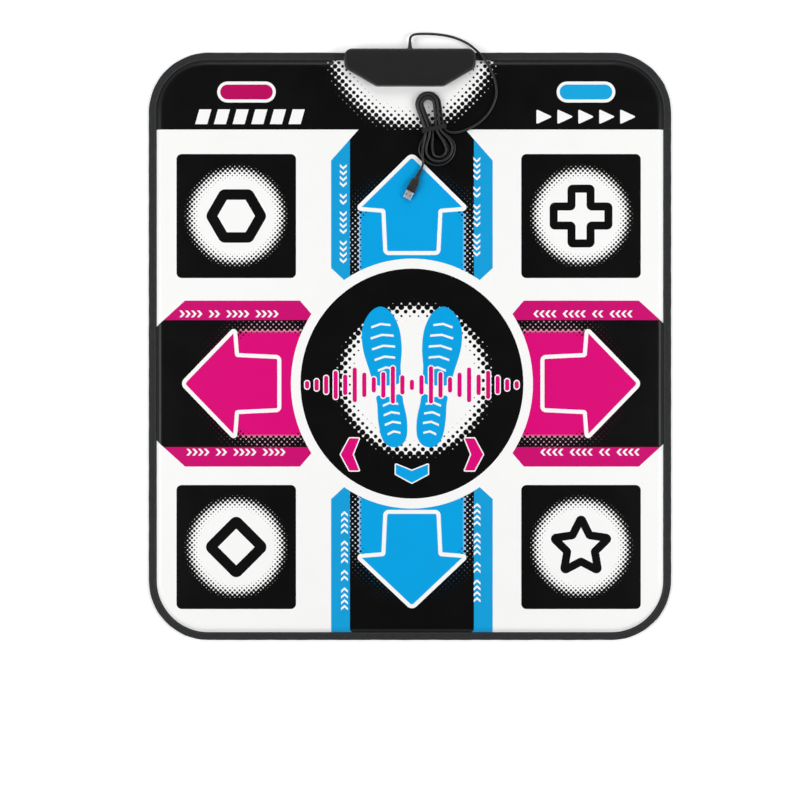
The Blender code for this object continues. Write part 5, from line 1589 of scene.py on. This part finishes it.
# Lead fittings. The grommet, moulded in the lead's own soft black vinyl, anchors the lead in the
# box's rear wall, and a band of hook-and-loop tape ties the hank at its waist.
BAND_WIDTH = 0.0070
BAND_THICK = 0.0008
BAND_TOP = 0.0198
BAND_INNER_HALF = 0.0183
BAND_SIDEWAYS = 0.0008
BAND_CORNER = 0.0030

bm = bmesh.new()
grommet_profile = [
    (0.0047, 0.4562), (0.0047, 0.4578), (0.0030, 0.4578), (0.0030, 0.4613), (0.0044, 0.4613),
    (0.0047, 0.4616), (0.0047, 0.4625), (0.0043, 0.4629), (0.0034, 0.4632),
]
for k in range(8):
    y = 0.4636 + 0.0011 * k
    sleeve = 0.0034 - 0.0009 * (k / 7)
    grommet_profile += [(sleeve, y), (sleeve, y + 0.0005), (sleeve - 0.00030, y + 0.0006)]
grommet_profile[-1] = (0.0022, 0.4728)
lofted(bm, [
    [(p.x, y, p.y) for p in disc((0.0, CORD_EXIT.z), r, r, 28)] for r, y in grommet_profile
])
grommet = make_piece("lead_grommet", finished("lead_grommet", bm), [sheath])
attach(grommet, "root")
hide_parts("cord_grommet")

# Hook-and-loop tape, woven and brushed: matt black, with a short nap. Its free end laps over
# the top.
band_cloth = speckled("brushed_loop_tape", "0C0C0D", "1C1C1E", 900.0, (0.80, 0.95))
band_along = Matrix.Rotation(HANK_LEAN, 2) @ Vector((0.0, 1.0))
band_across = Vector((band_along.y, -band_along.x))
band_middle = Vector((HANK_X, HANK_Y)) + band_across * BAND_SIDEWAYS
band_half = BAND_INNER_HALF + BAND_THICK
band_base = MAT_TOP + CORD_GAP
band_height = BAND_TOP - band_base


def band_loop(inset, along):
    """The band's section round the strands, moved inwards, at a place along the hank."""
    section = box_of(
        2 * (band_half - inset), band_height - 2 * inset, BAND_CORNER - inset, 8,
        (0.0, band_base + band_height / 2),
    )
    spots = [band_middle + band_across * p.x + band_along * along for p in section]
    return [(s.x, s.y, p.y) for s, p in zip(spots, section)]


bm = bmesh.new()
half = BAND_WIDTH / 2
rim = 0.00025
lofted(bm, [
    band_loop(rim, -half), band_loop(0.0, rim - half), band_loop(0.0, half - rim), band_loop(rim, half),
    band_loop(BAND_THICK - rim, half), band_loop(BAND_THICK, half - rim),
    band_loop(BAND_THICK, rim - half), band_loop(BAND_THICK - rim, -half),
], closed=True)
lap_half = half - 0.0006
lap = []
for x, high in ((-0.0085, 0.0003), (-0.0080, 0.0008), (0.0060, 0.0008), (0.0068, 0.0005)):
    ring = []
    for along, z in ((-lap_half, 0.0), (lap_half, 0.0), (lap_half, high), (-lap_half, high)):
        spot = band_middle + band_across * x + band_along * along
        ring.append((spot.x, spot.y, BAND_TOP - 0.0001 + z))
    lap.append(ring)
lofted(bm, lap)
band = make_piece("hank_band", finished("hank_band", bm), [band_cloth])
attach(band, "root")
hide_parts("cord_tie")

# Plug. A ribbed strain relief runs into a moulded grip with three finger ridges on each face;
# a folded steel sleeve with spring windows holds the plastic tongue and its four contacts.
RELIEF = 0.0130
GRIP_START = 0.0155
GRIP_END = 0.0360
GRIP_HALF = (0.00750, 0.0040)
SLEEVE_START = 0.0363
SLEEVE_END = 0.0483
SLEEVE_HALF = (0.0060, 0.00225)
SLEEVE_WALL = 0.0004
WINDOW_ALONG = 0.0425
WINDOW_SIDEWAYS = 0.0027
WINDOW_HALF = 0.0011
CONTACT_ALONG = 0.0430
CONTACT_PITCH = 0.0022
CONTACT_HALF = (0.0005, 0.0035)


def plug_loop(along, half_width, half_thick, corner):
    """A rounded section square to the plug's line."""
    rounding = min(corner, half_thick * 0.98, half_width * 0.98)
    section = box_of(2 * half_width, 2 * half_thick, rounding, 6)
    spots = [PLUG_START + PLUG_AHEAD * along + PLUG_RIGHT * p.x for p in section]
    return [(s.x, s.y, s.z + p.y) for s, p in zip(spots, section)]


bm = bmesh.new()
loops = []
RIBS = 5
for k in range(RIBS * 4 + 1):
    share = k / (RIBS * 4)
    swell = 0.0028 + 0.0010 * share
    if k % 4 in (1, 2):
        swell -= 0.00055
    loops.append(plug_loop((RELIEF + 0.0010) * share - 0.0010, swell, swell, swell))
for along, wide, thick, corner in (
    (0.0140, 0.0036, 0.0030, 0.0029), (GRIP_START, 0.0052, 0.0033, 0.0030),
    (0.0165, 0.0059, 0.0036, 0.0026), (0.0185, 0.0064, 0.00385, 0.0022),
):
    loops.append(plug_loop(along, wide, thick, corner))
for k in range(3):
    start = 0.0200 + 0.0034 * k
    wide = 0.0067 + 0.00022 * k
    for on, wider, thick in (
        (0.0, 0.0, 0.00365), (0.0006, 0.0002, 0.0040), (0.0016, 0.0002, 0.0040), (0.0022, 0.0, 0.00365),
    ):
        loops.append(plug_loop(start + on, wide + wider, thick, 0.0019))
for along, wide, thick in (
    (0.0310, 0.00740, 0.0039), (0.0348, *GRIP_HALF), (0.0356, 0.0073, 0.0038), (GRIP_END, 0.0069, 0.0034),
):
    loops.append(plug_loop(along, wide, thick, 0.0017))
lofted(bm, loops)
grip = make_piece("plug_grip", finished("plug_grip", bm), [sheath])
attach(grip, "root")
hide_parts("plug_body")

bm = bmesh.new()
lofted(bm, [
    plug_loop(along, SLEEVE_HALF[0] - inset, SLEEVE_HALF[1] - inset, corner)
    for along, inset, corner in (
        (SLEEVE_START, 0.0, 0.0007), (SLEEVE_END - 0.0003, 0.0, 0.0007), (SLEEVE_END, 0.0001, 0.0006),
        (SLEEVE_END, SLEEVE_WALL - 0.0001, 0.0004), (SLEEVE_END - 0.0003, SLEEVE_WALL, 0.0003),
        (SLEEVE_START, SLEEVE_WALL, 0.0003),
    )
], closed=True)
sleeve = make_piece("plug_sleeve", finished("plug_sleeve", bm), [steel])
bm = bmesh.new()
for side in (-1, 1):
    middle = PLUG_START + PLUG_AHEAD * WINDOW_ALONG + PLUG_RIGHT * (side * WINDOW_SIDEWAYS)
    spots = [
        middle + PLUG_RIGHT * (a * WINDOW_HALF) + PLUG_AHEAD * (b * WINDOW_HALF)
        for a, b in square_corners
    ]
    lofted(bm, [[(s.x, s.y, s.z + lift) for s in spots] for lift in (-0.0030, 0.0030)])
cut(sleeve, finished("window_cutter", bm))
sleeve.data.set_sharp_from_angle(angle=math.radians(35))
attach(sleeve, "root")
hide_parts("plug_shell")

# Gold plating on the contacts: bright and smooth, a little uneven in tone
gold = mottled(
    "gold_plated_contacts", "D8AE55", "EBCB7E", {"Scale": 800.0, "Detail": 3.0},
    {"Metallic": 1.0, "Roughness": 0.25},
)
bm = bmesh.new()
lofted(bm, [
    [(a * (CONTACT_HALF[0] - inset), b * (CONTACT_HALF[1] - inset), z) for a, b in square_corners]
    for z, inset in ((0.0, 0.0), (0.00012, 0.0), (0.00018, 0.00008))
])
tongue_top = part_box("plug_tongue")[1][2]
contact_spots = []
for k in range(4):
    spot = PLUG_START + PLUG_AHEAD * CONTACT_ALONG + PLUG_RIGHT * (k - 1.5) * CONTACT_PITCH
    contact_spots.append((spot.x, spot.y, tongue_top - 0.00004))
contact_turns = [(0.0, 0.0, -PLUG_HEADING)] * 4
contacts = grow_on_points("plug_contacts", contact_spots, finished("contact", bm), gold, contact_turns)
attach(contacts, "root")
